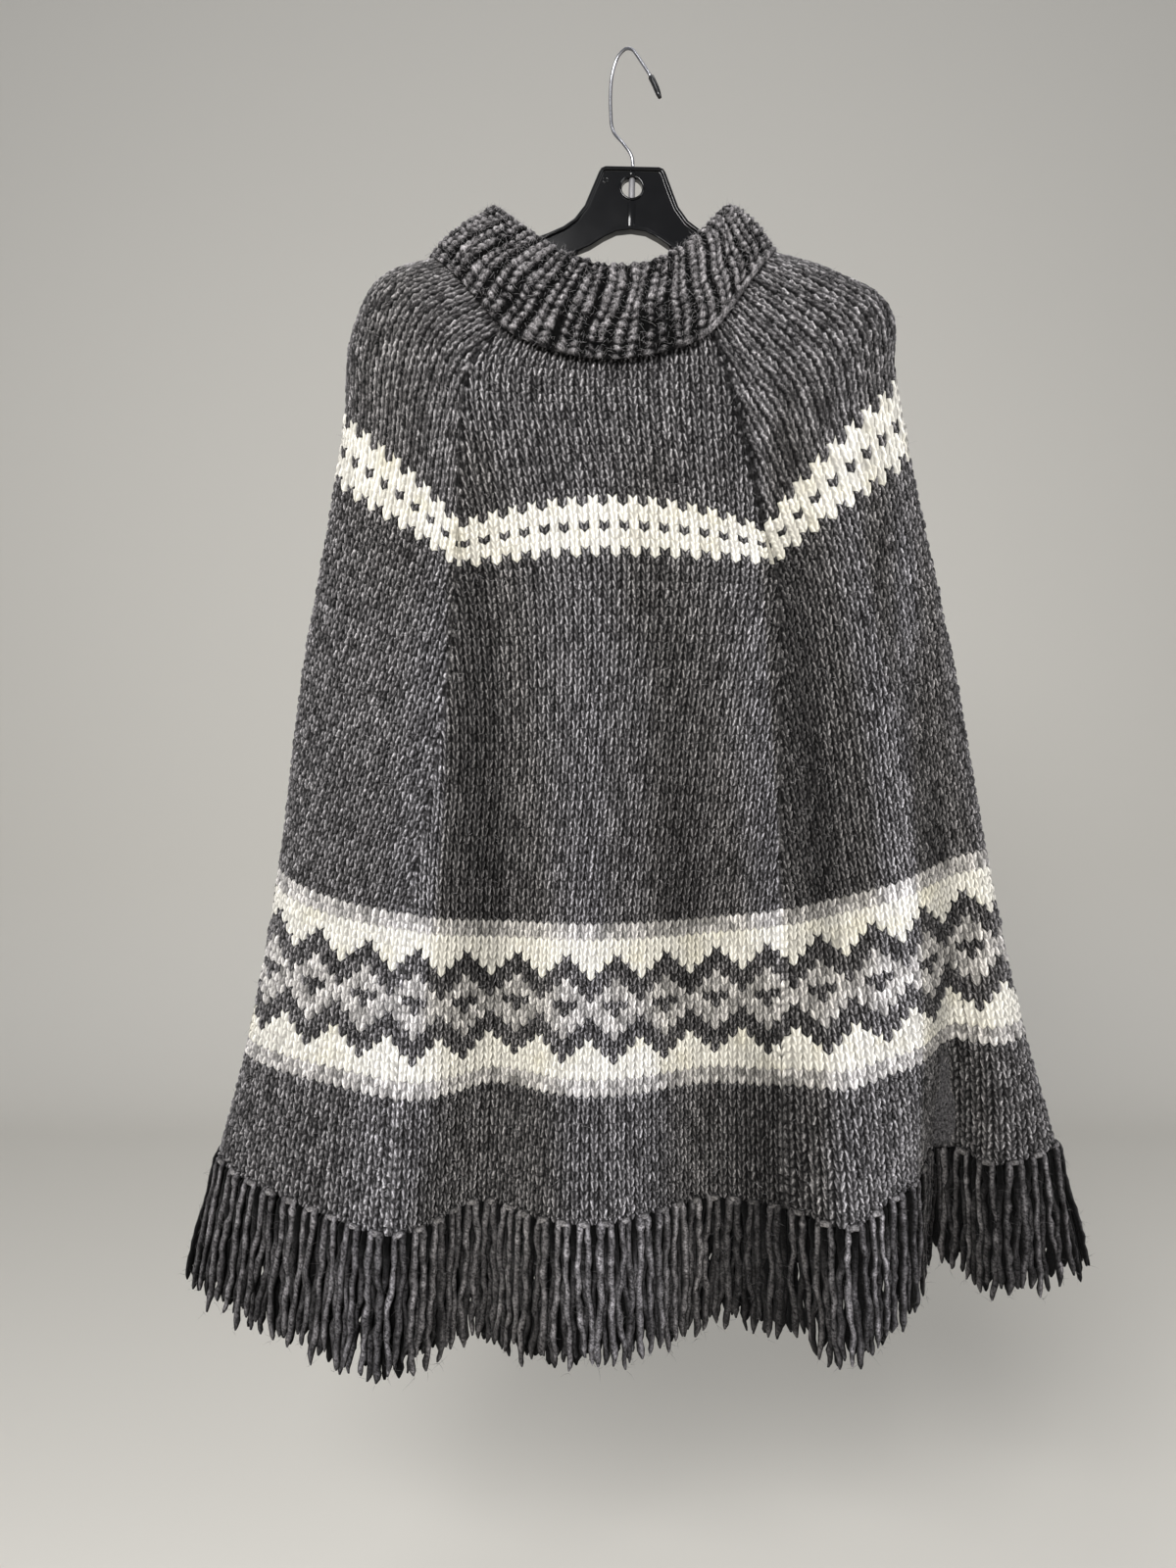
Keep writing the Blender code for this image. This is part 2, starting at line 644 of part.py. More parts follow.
def build_hook(steel, rubber, collection):
    """The swivel hook's wire, and the rubber tip that follows its end."""
    route = hook_points()
    low = route[:, 2] < HOOK_TIP_Z
    first = len(route) - int(np.argmin(low[::-1]))
    wire("hook_wire", route[:first], HOOK_WIRE, steel, collection)
    start = route[first - 1] + unit(route[first] - route[first - 1]) * SEAM_GAP
    places = np.linspace(0, 1, len(HOOK_TIP_RADII))
    tip = along(np.concatenate([start[None], route[first:]]), places)
    wire("hook_tip", tip, HOOK_TIP, rubber, collection, HOOK_TIP_RADII)


# ============================================================================== build
def main():
    """Clears the scene and builds every piece."""
    for leftover in list(bpy.data.objects):
        bpy.data.objects.remove(leftover)
    garment = bpy.data.collections.new("poncho_sweater")
    cutters = bpy.data.collections.new("cutters")
    bpy.context.scene.collection.children.link(garment)
    bpy.context.scene.collection.children.link(cutters)

    grey_wool = material("grey heather wool", (0.09, 0.085, 0.095), 0.95)
    fringe_wool = material("grey fringe yarn", (0.075, 0.072, 0.08), 0.95)
    plastic = material("black gloss plastic", (0.006, 0.006, 0.008), 0.2)
    steel = material("plated steel wire", (0.45, 0.45, 0.46), 0.25, 1.0)
    rubber = material("black rubber", (0.012, 0.012, 0.012), 0.55)

    outer, inner = body_grids()
    build_gores(outer, inner, grey_wool, garment)
    build_collar(outer, inner, grey_wool, garment)
    build_fringe(outer, inner, fringe_wool, garment)
    build_hanger(plastic, garment, cutters)
    build_hook(steel, rubber, garment)


main()
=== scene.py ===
"""Looks of a knitted poncho sweater on a plastic coat hanger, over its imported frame.

Row frame in metres, +Z up, +X to the right, -Y towards the viewer; the tables hold
millimetres. A course is one round of stitches, counted down from the neck seam, and the
four raglan lines part the body into four gores, counter-clockwise from the front.
"""

from __future__ import annotations

import json
import logging
import math
import random
from dataclasses import dataclass, field
from enum import Enum
from typing import Any, NamedTuple, Sequence

import bmesh
import bpy
import numpy as np
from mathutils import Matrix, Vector

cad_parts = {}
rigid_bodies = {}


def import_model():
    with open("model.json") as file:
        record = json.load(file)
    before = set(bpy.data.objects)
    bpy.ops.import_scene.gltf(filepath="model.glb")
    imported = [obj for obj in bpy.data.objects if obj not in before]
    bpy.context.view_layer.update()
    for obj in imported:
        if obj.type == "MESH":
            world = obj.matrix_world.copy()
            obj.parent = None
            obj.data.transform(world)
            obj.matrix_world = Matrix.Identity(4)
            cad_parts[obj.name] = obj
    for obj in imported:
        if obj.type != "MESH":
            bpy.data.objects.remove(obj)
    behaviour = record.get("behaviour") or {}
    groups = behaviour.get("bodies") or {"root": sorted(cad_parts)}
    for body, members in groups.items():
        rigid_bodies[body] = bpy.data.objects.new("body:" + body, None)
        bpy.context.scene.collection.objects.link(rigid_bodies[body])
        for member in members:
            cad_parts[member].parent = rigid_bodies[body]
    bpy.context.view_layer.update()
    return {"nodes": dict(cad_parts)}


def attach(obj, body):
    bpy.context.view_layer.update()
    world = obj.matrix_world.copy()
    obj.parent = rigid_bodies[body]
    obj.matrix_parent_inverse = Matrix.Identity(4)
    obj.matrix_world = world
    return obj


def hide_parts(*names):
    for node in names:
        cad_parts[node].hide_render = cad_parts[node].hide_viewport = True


logging.basicConfig(level=logging.INFO, format="%(message)s")
LOG = logging.getLogger("poncho")

MM = 0.001
BODY = "root"
Array = np.ndarray
Rng = np.random.Generator
Piece = bpy.types.Object
Finish = bpy.types.Material
Pair = tuple[float, float]
Point = tuple[float, float, float]
Colour = tuple[float, float, float]


# ==== form of the cloth
class Course(NamedTuple):
    """One measured course: outer surface points on eight named lines."""

    row: float
    front: Point
    front_right: Point
    right: Point
    back_right: Point
    back: Point
    back_left: Point
    left: Point
    front_left: Point


class Gore(Enum):
    """The four body panels, in order round the body."""

    FRONT = 0
    RIGHT = 1
    BACK = 2
    LEFT = 3


class Fold(NamedTuple):
    """One soft fold of the front or the back.

    It has a place across, a width and a lift off the cloth at the yoke, the chest and the
    hem, and it draws the hem down."""

    face: Gore
    x_yoke: float
    x_chest: float
    x_hem: float
    width_yoke: float
    width_hem: float
    lift_yoke: float
    lift_chest: float
    lift_hem: float
    drop_hem: float


COURSES = (
    Course(0, (-17, -38, -237), (64, -36, -234), (110, 0, -166), (69, 16, -204),
           (-13, 20, -196), (-93, 16, -204), (-149, 0, -170), (-89, -36, -232)),
    Course(7, (-16, -41, -284), (82, -37, -289), (168, 0, -182), (92, 18, -253),
           (-13, 22, -241), (-118, 18, -253), (-204, 0, -190), (-126, -38, -275)),
    Course(14, (-14, -43, -330), (95, -39, -345), (216, 0, -211), (107, 19, -309),
           (-12, 22, -288), (-131, 19, -309), (-228, 0, -240), (-134, -40, -334)),
    Course(21, (-11, -45, -377), (107, -41, -401), (221, -3, -269), (117, 20, -366),
           (-10, 22, -336), (-133, 20, -366), (-232, -3, -299), (-134, -42, -397)),
    Course(28, (-10, -50, -425), (115, -46, -433), (232, -6, -335), (129, 22, -406),
           (-5, 24, -383), (-134, 22, -408), (-239, -6, -355), (-135, -46, -435)),
    Course(49, (-19, -60, -568), (116, -59, -571), (265, -12, -503), (157, 26, -541),
           (12, 29, -526), (-123, 26, -541), (-265, -12, -519), (-146, -58, -571)),
    Course(70, (-28, -71, -711), (114, -69, -701), (290, -22, -666), (182, 30, -673),
           (36, 33, -668), (-111, 30, -676), (-283, -18, -681), (-168, -69, -704)),
    Course(91, (-28, -82, -838), (115, -76, -835), (319, -24, -805), (197, 35, -813),
           (42, 38, -806), (-118, 35, -816), (-308, -20, -820), (-176, -78, -841)),
    Course(106, (-28, -84, -933), (119, -66, -934), (346, -20, -896), (207, 38, -911),
           (45, 42, -906), (-123, 38, -911), (-331, -18, -905), (-181, -86, -941)),
)
STATIONS = Course._fields[1:]
BACK_STATION = STATIONS.index("back")
SIDE_STATIONS = (STATIONS.index("right"), STATIONS.index("left"))
SHOULDER_ROW, YOKE_ROW, CHEST_ROW, HEM_ROW = 14.0, 28.0, 70.0, 106.0
CORNER_ROW, SMOOTH_ROW = 35.0, 60.0
RAGLAN_FLATNESS = 0.35
EDGE_FULLNESS, SHOULDER_FULLNESS = 1.15, 2.6
EDGE_ROUNDNESS, SHOULDER_ROUNDNESS, PLAIN_ROUNDNESS = 1.3, 1.8, 2.0
SAMPLES_PER_STATION = 24

FOLD_ROWS = (YOKE_ROW, CHEST_ROW, HEM_ROW)
FOLD_START_ROW = 12.0
FOLD_EDGE_POWER = 6
DROP_START_ROW = 74.0
FOLDS = (
    Fold(Gore.FRONT, -138, -150, -180, 26, 36, 3, 8, 6, 3),
    Fold(Gore.FRONT, -108, -91, -116, 26, 36, -4, -8, -30, -11),
    Fold(Gore.FRONT, -20, -25, -22, 40, 40, 1, 4, 6, 3),
    Fold(Gore.FRONT, 38, 60, 66, 30, 46, -2, -7, -20, -7),
    Fold(Gore.FRONT, 110, 112, 108, 24, 26, 3, 6, 0, 0),
    Fold(Gore.FRONT, 135, 167, 166, 26, 30, -5, -8, 22, 14),
    Fold(Gore.FRONT, 178, 216, 218, 24, 28, 2, 6, 0, 2),
    Fold(Gore.FRONT, 205, 258, 256, 22, 22, 0, -10, -62, -16),
    Fold(Gore.BACK, -150, -170, -200, 40, 50, 3, 6, 10, 0),
    Fold(Gore.BACK, -70, -75, -90, 40, 50, -3, -6, -10, 0),
    Fold(Gore.BACK, 20, 30, 30, 46, 60, 2, 5, 8, 0),
    Fold(Gore.BACK, 110, 125, 140, 40, 50, -2, -6, -10, 0),
    Fold(Gore.BACK, 180, 230, 260, 36, 50, 2, 6, 8, 0),
)


class Stroke(NamedTuple):
    """A soft band down the front, where a crease turns the cloth.

    It has a place across at the chest and the hem, a width, and a painted tone at the chest,
    the hem and the shoulder: painted light above 0 and painted shade below it."""

    x_chest: float
    x_hem: float
    width: float
    chest: float
    hem: float
    shoulder: float = 0.0


# bands of painted light and painted shade along the front's creases, and painted shade on the left shoulder
STROKES = (
    Stroke(-195, -195, 45, 0.0, 0.0, shoulder=-0.16),
    Stroke(-150, -66, 34, 0.0, -0.15),
    Stroke(12, 13, 22, 0.42, 0.25),
    Stroke(105, 117, 36, 0.0, -0.9),
    Stroke(220, 220, 15, 0.55, 0.4),
    Stroke(202, 202, 14, 0.0, 0.22),
    Stroke(240, 256, 17, -0.2, -0.6),
    Stroke(232, 232, 7, 0.0, -0.2),
)


class FoldTone(NamedTuple):
    """How much a crest lights the cloth, and how much a falling side and a hollow dull it."""

    crest: float
    fall: float
    hollow: float


HIGH_TONE = FoldTone(crest=0.28, fall=0.85, hollow=0.6)
LOW_TONE = FoldTone(crest=0.3, fall=0.0, hollow=0.2)


def cubic(t: Any, start: Any, leave: Any, end: Any, arrive: Any) -> Any:
    """Reads a cubic curve.

    Args:
        t: the place to read, 0 to 1.
        start: its value at 0.
        leave: its slope at 0.
        end: its value at 1.
        arrive: its slope at 1.

    Returns:
        Its value at t.
    """
    return (
        (2 * t**3 - 3 * t**2 + 1) * start
        + (t**3 - 2 * t**2 + t) * leave
        + (3 * t**2 - 2 * t**3) * end
        + (t**3 - t**2) * arrive
    )


def hermite(knots: Sequence[float], values: Any, at: float) -> Array:
    """Reads a smooth curve through rows of values.

    Args:
        knots: where each row of values lies.
        values: one row for each knot.
        at: the place to read.

    Returns:
        The row of values there.
    """
    knots = np.asarray(knots, float)
    values = np.asarray(values, float)
    k = int(np.clip(np.searchsorted(knots, at, side="right") - 1, 0, len(knots) - 2))
    slopes = np.gradient(values, knots, axis=0)
    span = knots[k + 1] - knots[k]
    t = (at - knots[k]) / span
    return cubic(t, values[k], span * slopes[k], values[k + 1], span * slopes[k + 1])


def unit(vectors: Array) -> Array:
    """Returns each vector at length one."""
    return vectors / np.maximum(np.linalg.norm(vectors, axis=-1, keepdims=True), 1e-12)


def chord(loop: Array, axis: int = 1) -> Array:
    """Returns the chord past each point of a closed loop: the next point less the last one."""
    return np.roll(loop, -1, axis=axis) - np.roll(loop, 1, axis=axis)


def smooth_step(value: Any, start: float, end: float) -> Array:
    """Returns 0 before start, 1 after end, and a soft ramp between them."""
    t = np.clip((np.asarray(value, float) - start) / (end - start), 0, 1)
    return t * t * (3 - 2 * t)


def bell(value: Any, middle: Any, width: Any) -> Array:
    """Returns 1 at the middle and less on both sides, down to 0 beyond the width."""
    return np.exp(-(((value - middle) / width) ** 2))


def dense_loop(stations: Array, corners: float = 0.0, fullness: float = EDGE_FULLNESS,
               roundness: float = EDGE_ROUNDNESS) -> Array:
    """Draws a closed smooth loop through eight stations.

    Args:
        stations: the eight points, front first, going round to the right.
        corners: how sharply the heights turn at the raglan lines, 0 to 1.
        fullness: how bluntly the loop turns at its two sides.
        roundness: how slowly the heights leave the sides.

    Returns:
        SAMPLES_PER_STATION points for each station.
    """
    count = len(stations)
    tangents = chord(stations, axis=0) / 2
    tangents[1::2, 1] *= RAGLAN_FLATNESS
    for side in SIDE_STATIONS:
        length = np.linalg.norm(tangents[side, :2]) * fullness
        tangents[side, :2] = (0, math.copysign(length, tangents[side, 1]))
    t = (np.arange(SAMPLES_PER_STATION) / SAMPLES_PER_STATION)[:, None]
    stretches = []
    for k in range(count):
        after = (k + 1) % count
        start, end = stations[k], stations[after]
        points = cubic(t, start, tangents[k], end, tangents[after])
        power = roundness if k in SIDE_STATIONS or after in SIDE_STATIONS else PLAIN_ROUNDNESS
        if k % 2 == 0:
            cornered = start[2] + (end[2] - start[2]) * t[:, 0] ** power
        else:
            cornered = end[2] + (start[2] - end[2]) * (1 - t[:, 0]) ** power
        points[:, 2] += (cornered - points[:, 2]) * corners
        stretches.append(points)
    return np.concatenate(stretches)


def fold_shift(fold: Fold, row: float, x: Array) -> tuple[Array, Array]:
    """Works out what one fold does to a course.

    Args:
        fold: the fold.
        row: the course.
        x: the places across.

    Returns:
        How far it lifts the cloth there, and how far it lowers it.
    """
    below = max(row, YOKE_ROW)
    place = hermite(FOLD_ROWS, (fold.x_yoke, fold.x_chest, fold.x_hem), below)
    lift = hermite(FOLD_ROWS, (fold.lift_yoke, fold.lift_chest, fold.lift_hem), below)
    spread = (below - YOKE_ROW) / (HEM_ROW - YOKE_ROW)
    width = fold.width_yoke + (fold.width_hem - fold.width_yoke) * spread
    fade = np.clip((row - FOLD_START_ROW) / (YOKE_ROW - FOLD_START_ROW), 0, 1)
    hanging = np.clip((row - DROP_START_ROW) / (HEM_ROW - DROP_START_ROW), 0, 1)
    bump = bell(x, place, width)
    return lift * fade * bump, fold.drop_hem * hanging * bump


def course_loop(row: float) -> Array:
    """Draws one course.

    Args:
        row: the course.

    Returns:
        Its closed loop: x, y, z, and how far its folds lift it.
    """
    corners = float(np.clip((SMOOTH_ROW - row) / (SMOOTH_ROW - CORNER_ROW), 0, 1))
    on_arm = float(np.clip((YOKE_ROW - row) / (YOKE_ROW - SHOULDER_ROW), 0, 1))
    stations = hermite(
        [course.row for course in COURSES],
        [[getattr(course, name) for name in STATIONS] for course in COURSES],
        row,
    )
    points = dense_loop(
        stations, corners,
        EDGE_FULLNESS + (SHOULDER_FULLNESS - EDGE_FULLNESS) * on_arm,
        EDGE_ROUNDNESS + (SHOULDER_ROUNDNESS - EDGE_ROUNDNESS) * on_arm,
    )
    station = np.arange(len(points)) / SAMPLES_PER_STATION
    from_front = np.minimum(station, len(STATIONS) - station)
    on_front = np.clip(1 - (from_front / SIDE_STATIONS[0]) ** FOLD_EDGE_POWER, 0, 1)
    from_back = np.abs(from_front - BACK_STATION)
    on_back = np.clip(1 - (from_back / SIDE_STATIONS[0]) ** FOLD_EDGE_POWER, 0, 1)
    plain_x = points[:, 0].copy()
    lifted = np.zeros(len(points))
    for fold in FOLDS:
        lift, drop = fold_shift(fold, row, plain_x)
        share, turn = (on_front, -1) if fold.face is Gore.FRONT else (on_back, 1)
        points[:, 1] += turn * lift * share
        points[:, 2] -= drop * share
        lifted += lift * share
    return np.concatenate([points, lifted[:, None]], axis=1)


def along(points: Array, places: Array) -> Array:
    """Reads a polyline at fractions of its length.

    Args:
        points: its points: x, y, z, and anything that goes with them.
        places: the fractions, 0 to 1.

    Returns:
        The points there, with what goes with them.
    """
    steps = np.linalg.norm(np.diff(points[:, :3], axis=0), axis=1)
    travelled = np.concatenate([[0], np.cumsum(steps)])
    at = np.asarray(places) * travelled[-1]
    return np.stack([np.interp(at, travelled, column) for column in points.T], axis=-1)


def between(grid: Array, rows: tuple[Any, Any], columns: tuple[Any, Any], fy: Any, fx: Any) -> Array:
    """Reads a grid between its values.

    Args:
        grid: the values, [row][column].
        rows: the rows above and below each place.
        columns: the columns to its left and its right.
        fy: how far it lies from the upper row to the lower one, 0 to 1.
        fx: how far it lies from the left column to the right one.

    Returns:
        The values there.
    """
    top = grid[rows[0], columns[0]] * (1 - fx) + grid[rows[0], columns[1]] * fx
    low = grid[rows[1], columns[0]] * (1 - fx) + grid[rows[1], columns[1]] * fx
    return top * (1 - fy) + low * fy


def soft_field(rng: Rng, shape: tuple[int, int], cells: tuple[int, int]) -> Array:
    """Draws smooth chance values from -1 to 1 that close across the columns.

    Args:
        rng: the source of chance.
        shape: rows and columns of the result.
        cells: how many chance values lie down it and across it.

    Returns:
        The values, in that shape.
    """
    coarse = rng.uniform(-1, 1, cells)
    y = np.linspace(0, cells[0] - 1, shape[0])[:, None]
    x = (np.arange(shape[1]) * cells[1] / shape[1])[None, :]
    row = np.minimum(y.astype(int), cells[0] - 2)
    left = x.astype(int)
    return between(coarse, (row, row + 1), (left, (left + 1) % cells[1]),
                   smooth_step(y - row, 0, 1), smooth_step(x - left, 0, 1))


def even_loop(points: Array, count: int) -> Array:
    """Returns a closed polyline read at count even places, from its first point on."""
    return along(np.concatenate([points, points[:1]]), np.arange(count) / count)


@dataclass
class ClothForm:
    """The outer face of the whole body, as a dense grid that closes round the body."""

    rows_per_course: int = 2
    samples: int = 120
    thickness: float = 4.5
    full_slope: float = 0.2
    full_hollow: float = 8.0
    full_crest: float = 6.0
    tone_rows: Pair = (70.0, 92.0)
    front_depths: Pair = (-5.0, 25.0)
    hung_rows: float = 16.0
    points: Array = field(init=False)
    normals: Array = field(init=False)
    downs: Array = field(init=False)
    shades: Array = field(init=False)

    def __post_init__(self) -> None:
        """Measures the grid once."""
        rows = np.arange(int(HEM_ROW) * self.rows_per_course + 1) / self.rows_per_course
        measured = np.array([self._course(row) for row in rows])
        self.points = measured[..., :3]
        self.shades = self._fold_shade(measured[..., 3], rows)[..., None]
        self.downs = unit(np.gradient(self.points, axis=0))
        self.normals = unit(np.cross(chord(self.points), -self.downs))

    def _course(self, row: float) -> Array:
        """Measures one course.

        Args:
            row: the course.

        Returns:
            Its points and their lift, evenly spaced inside each gore.
        """
        loop = course_loop(row)
        places = np.arange(self.samples) / self.samples
        parts = []
        for gore in Gore:
            start = (gore.value * 2 - 1) * SAMPLES_PER_STATION
            index = np.arange(start, start + 2 * SAMPLES_PER_STATION + 1) % len(loop)
            parts.append(along(loop[index], places))
        return np.concatenate(parts)

    def _read(self, grid: Array, gore: Gore, row: Any, across: Any) -> Array:
        """Reads one of the grids between its points.

        Args:
            grid: the grid.
            gore: the gore.
            row: the courses.
            across: the fractions of the gore, from its left raglan line.

        Returns:
            The values there.
        """
        y = np.clip(row, 0, HEM_ROW) * self.rows_per_course
        x = (gore.value + np.clip(across, 0, 1)) * self.samples
        r = np.minimum(np.asarray(y).astype(int), len(grid) - 2)
        c = np.asarray(x).astype(int)
        count = grid.shape[1]
        return between(grid, (r, r + 1), (c % count, (c + 1) % count),
                       np.asarray(y - r)[..., None], np.asarray(x - c)[..., None])

    def place(self, gore: Gore, row: Any, across: Any) -> Array:
        """Returns the outer face's points at these courses and fractions of the gore."""
        return self._read(self.points, gore, row, across)

    def outward(self, gore: Gore, row: Any, across: Any) -> Array:
        """Returns the unit normals there."""
        return unit(self._read(self.normals, gore, row, across))

    def raised(self, gore: Gore, row: Any, across: Any, height: Any) -> Array:
        """Returns the points that stand this high off the outer face there."""
        return self.place(gore, row, across) + self.outward(gore, row, across) * np.asarray(height)[..., None]

    def down(self, gore: Gore, row: Any, across: Any) -> Array:
        """Returns the direction down the cloth there."""
        return unit(self._read(self.downs, gore, row, across))

    def shade(self, gore: Gore, row: Any, across: Any) -> Array:
        """Returns how light the folds leave the cloth there, with 1 on flat cloth."""
        return self._read(self.shades, gore, row, across)[..., 0]

    def patch(self, gore: Gore) -> Array:
        """Returns one gore's own grid of points, both raglan lines included."""
        columns = (gore.value * self.samples + np.arange(self.samples + 1)) % self.points.shape[1]
        return self.points[:, columns]

    def _fold_shade(self, lift: Array, rows: Array) -> Array:
        """Works out the folds' own light.

        On the chest a fold's falling side is dull, and lower down its crest is light.

        Args:
            lift: how far the folds lift each point.
            rows: the course of each row of points.

        Returns:
            How light the folds leave each point, with 1 on flat cloth.
        """
        step = np.linalg.norm(chord(self.points), axis=-1)
        fall = np.tanh(np.maximum(0, -chord(lift) / step) / self.full_slope)
        hollow = np.tanh(np.maximum(0, -lift) / self.full_hollow)
        crest = np.tanh(np.maximum(0, lift) / self.full_crest)
        low = smooth_step(rows, *self.tone_rows)[:, None]
        tone = sum(share * (part.crest * crest - part.fall * fall - part.hollow * hollow)
                   for share, part in ((1 - low, HIGH_TONE), (low, LOW_TONE)))
        x, y = self.points[..., 0], self.points[..., 1]
        on_front = smooth_step(-y, *self.front_depths)
        hung = smooth_step(rows, YOKE_ROW, YOKE_ROW + self.hung_rows)[:, None]
        spread = np.clip((rows - CHEST_ROW) / (HEM_ROW - CHEST_ROW), 0, 1)[:, None]
        for stroke in STROKES:
            place = stroke.x_chest + (stroke.x_hem - stroke.x_chest) * spread
            depth = (stroke.chest * (1 - low) + stroke.hem * low) * hung + stroke.shoulder * (1 - hung)
            tone = tone + depth * on_front * bell(x, place, stroke.width)
        return np.exp(tone)


# ==== mesh tools
@dataclass
class MeshParts:
    """Points and faces gathered for one mesh, in millimetres, with their facts."""

    points: list[Array] = field(default_factory=list)
    facts: list[Array] = field(default_factory=list)
    faces: list[Array] = field(default_factory=list)
    colours: list[Array] = field(default_factory=list)
    count: int = 0

    def add_points(self, points: Array, uv: Array, openness: Any, shade: Any = 1.0) -> Array:
        """Adds points in any layout.

        Args:
            points: the points, with x, y, z last.
            uv: texture places in the same layout, with u, v last.
            openness: how open each lies to the light, 0 in a groove to 1 on a crest.
            shade: how light the cloth's own folds leave each, with 1 on flat cloth.

        Returns:
            Their indices, in the same layout.
        """
        shape = points.shape[:-1]
        self.points.append(points.reshape(-1, 3))
        self.facts.append(np.concatenate([
            uv.reshape(-1, 2),
            np.broadcast_to(openness, shape).reshape(-1, 1),
            np.broadcast_to(shade, shape).reshape(-1, 1),
        ], axis=1))
        index = self.count + np.arange(int(np.prod(shape))).reshape(shape)
        self.count += index.size
        return index

    def add_faces(self, faces: Array, colours: Any) -> None:
        """Adds faces of one size.

        Args:
            faces: the indices of their corners, with the corners last.
            colours: a yarn colour of four values for each, or one for all.
        """
        faces = faces.reshape(-1, faces.shape[-1])
        self.faces.append(faces)
        self.colours.append(np.broadcast_to(colours, (len(faces), 4)).astype(np.float32))

    def add_grid(self, index: Array, colours: Any) -> None:
        """Adds the quads of an index grid, facing out where rows go down and columns right.

        Args:
            index: the grid of indices.
            colours: a yarn colour for each quad, or one for all.
        """
        quads = np.stack([index[:-1, :-1], index[1:, :-1], index[1:, 1:], index[:-1, 1:]], axis=-1)
        if np.ndim(colours) == 3:
            colours = colours.reshape(-1, 4)
        self.add_faces(quads, colours)

    def build(self, name: str, finish: Finish) -> Piece:
        """Makes the mesh of what was gathered.

        Args:
            name: the object's name.
            finish: its material.

        Returns:
            A smooth object at the origin.
        """
        used = np.unique(np.concatenate([group.ravel() for group in self.faces]))
        renumbered = np.zeros(self.count, np.int64)
        renumbered[used] = np.arange(len(used))
        points = np.concatenate(self.points)[used] * MM
        facts = np.concatenate(self.facts)[used]
        faces: list[list[int]] = []
        for group in self.faces:
            faces.extend(renumbered[group].tolist())
        mesh = bpy.data.meshes.new(name)
        mesh.from_pydata(points.tolist(), [], faces)
        corners = np.empty(len(mesh.loops), np.int32)
        mesh.loops.foreach_get("vertex_index", corners)
        uv_layer = mesh.uv_layers.new(name="stitch")
        uv_layer.data.foreach_set("uv", facts[corners, :2].astype(np.float32).ravel())
        for column, fact in ((2, "openness"), (3, "fold_shade")):
            values = mesh.attributes.new(fact, "FLOAT", "POINT")
            values.data.foreach_set("value", facts[:, column].astype(np.float32))
        sizes = np.concatenate([np.full(len(group), group.shape[1]) for group in self.faces])
        yarn = mesh.color_attributes.new("yarn", "FLOAT_COLOR", "CORNER")
        yarn.data.foreach_set("color", np.repeat(np.concatenate(self.colours), sizes, axis=0).ravel())
        mesh.materials.append(finish)
        mesh.shade_smooth()
        made = bpy.data.objects.new(name, mesh)
        bpy.context.scene.collection.objects.link(made)
        return made


def zip_rims(first: Array, at_first: Array, second: Array,
             at_second: Array) -> Array:
    """Joins two rows of points with triangles.

    Args:
        first: indices of the row whose side the triangles wind along.
        at_first: where each lies along the row, rising from 0 to 1.
        second: indices of the other row.
        at_second: where each of those lies.

    Returns:
        The triangles, one for each step along either row.
    """
    triangles = []
    a = b = 0
    while a < len(first) - 1 or b < len(second) - 1:
        step_first = b == len(second) - 1 or (
            a < len(first) - 1 and at_first[a + 1] <= at_second[b + 1]
        )
        if step_first:
            triangles.append((first[a], first[a + 1], second[b]))
            a += 1
        else:
            triangles.append((first[a], second[b + 1], second[b]))
            b += 1
    return np.array(triangles)


# ==== materials
MIX_FACTOR, MIX_LOW, MIX_HIGH, MIX_COLOUR = 0, 6, 7, 2
WHITE = (1.0, 1.0, 1.0)


class Shade:
    """A number in a material's node tree, with arithmetic that adds its nodes."""

    def __init__(self, graph: "NodeGraph", socket: Any) -> None:
        """Keeps the tree and the socket that gives the number."""
        self.graph = graph
        self.socket = socket

    def _with(self, operation: str, *values: Any, clamp: bool = False) -> "Shade":
        """Adds one Math node.

        Args:
            operation: what it does.
            values: its inputs, numbers or shades.
            clamp: whether its result is held between 0 and 1.

        Returns:
            Its result.
        """
        node = self.graph.node("ShaderNodeMath", {"operation": operation, "use_clamp": clamp},
                               dict(enumerate(values)))
        return Shade(self.graph, node.outputs[0])

    def __add__(self, other: Any) -> "Shade":
        """Sum."""
        return self._with("ADD", self, other)

    def __radd__(self, other: Any) -> "Shade":
        """Sum, reflected."""
        return self._with("ADD", other, self)

    def __sub__(self, other: Any) -> "Shade":
        """Difference."""
        return self._with("SUBTRACT", self, other)

    def __rsub__(self, other: Any) -> "Shade":
        """Difference, reflected."""
        return self._with("SUBTRACT", other, self)

    def __mul__(self, other: Any) -> "Shade":
        """Product."""
        return self._with("MULTIPLY", self, other)

    def __rmul__(self, other: Any) -> "Shade":
        """Product, reflected."""
        return self._with("MULTIPLY", other, self)

    def __pow__(self, other: Any) -> "Shade":
        """Power."""
        return self._with("POWER", self, other)

    def clamped(self) -> "Shade":
        """Returns the number held between 0 and 1."""
        return self._with("ADD", self, 0.0, clamp=True)

    def above(self, level: float, softness: float) -> "Shade":
        """Returns 0 under level, 1 above level + softness, and a ramp between them."""
        return ((self - level) * (1 / softness)).clamped()


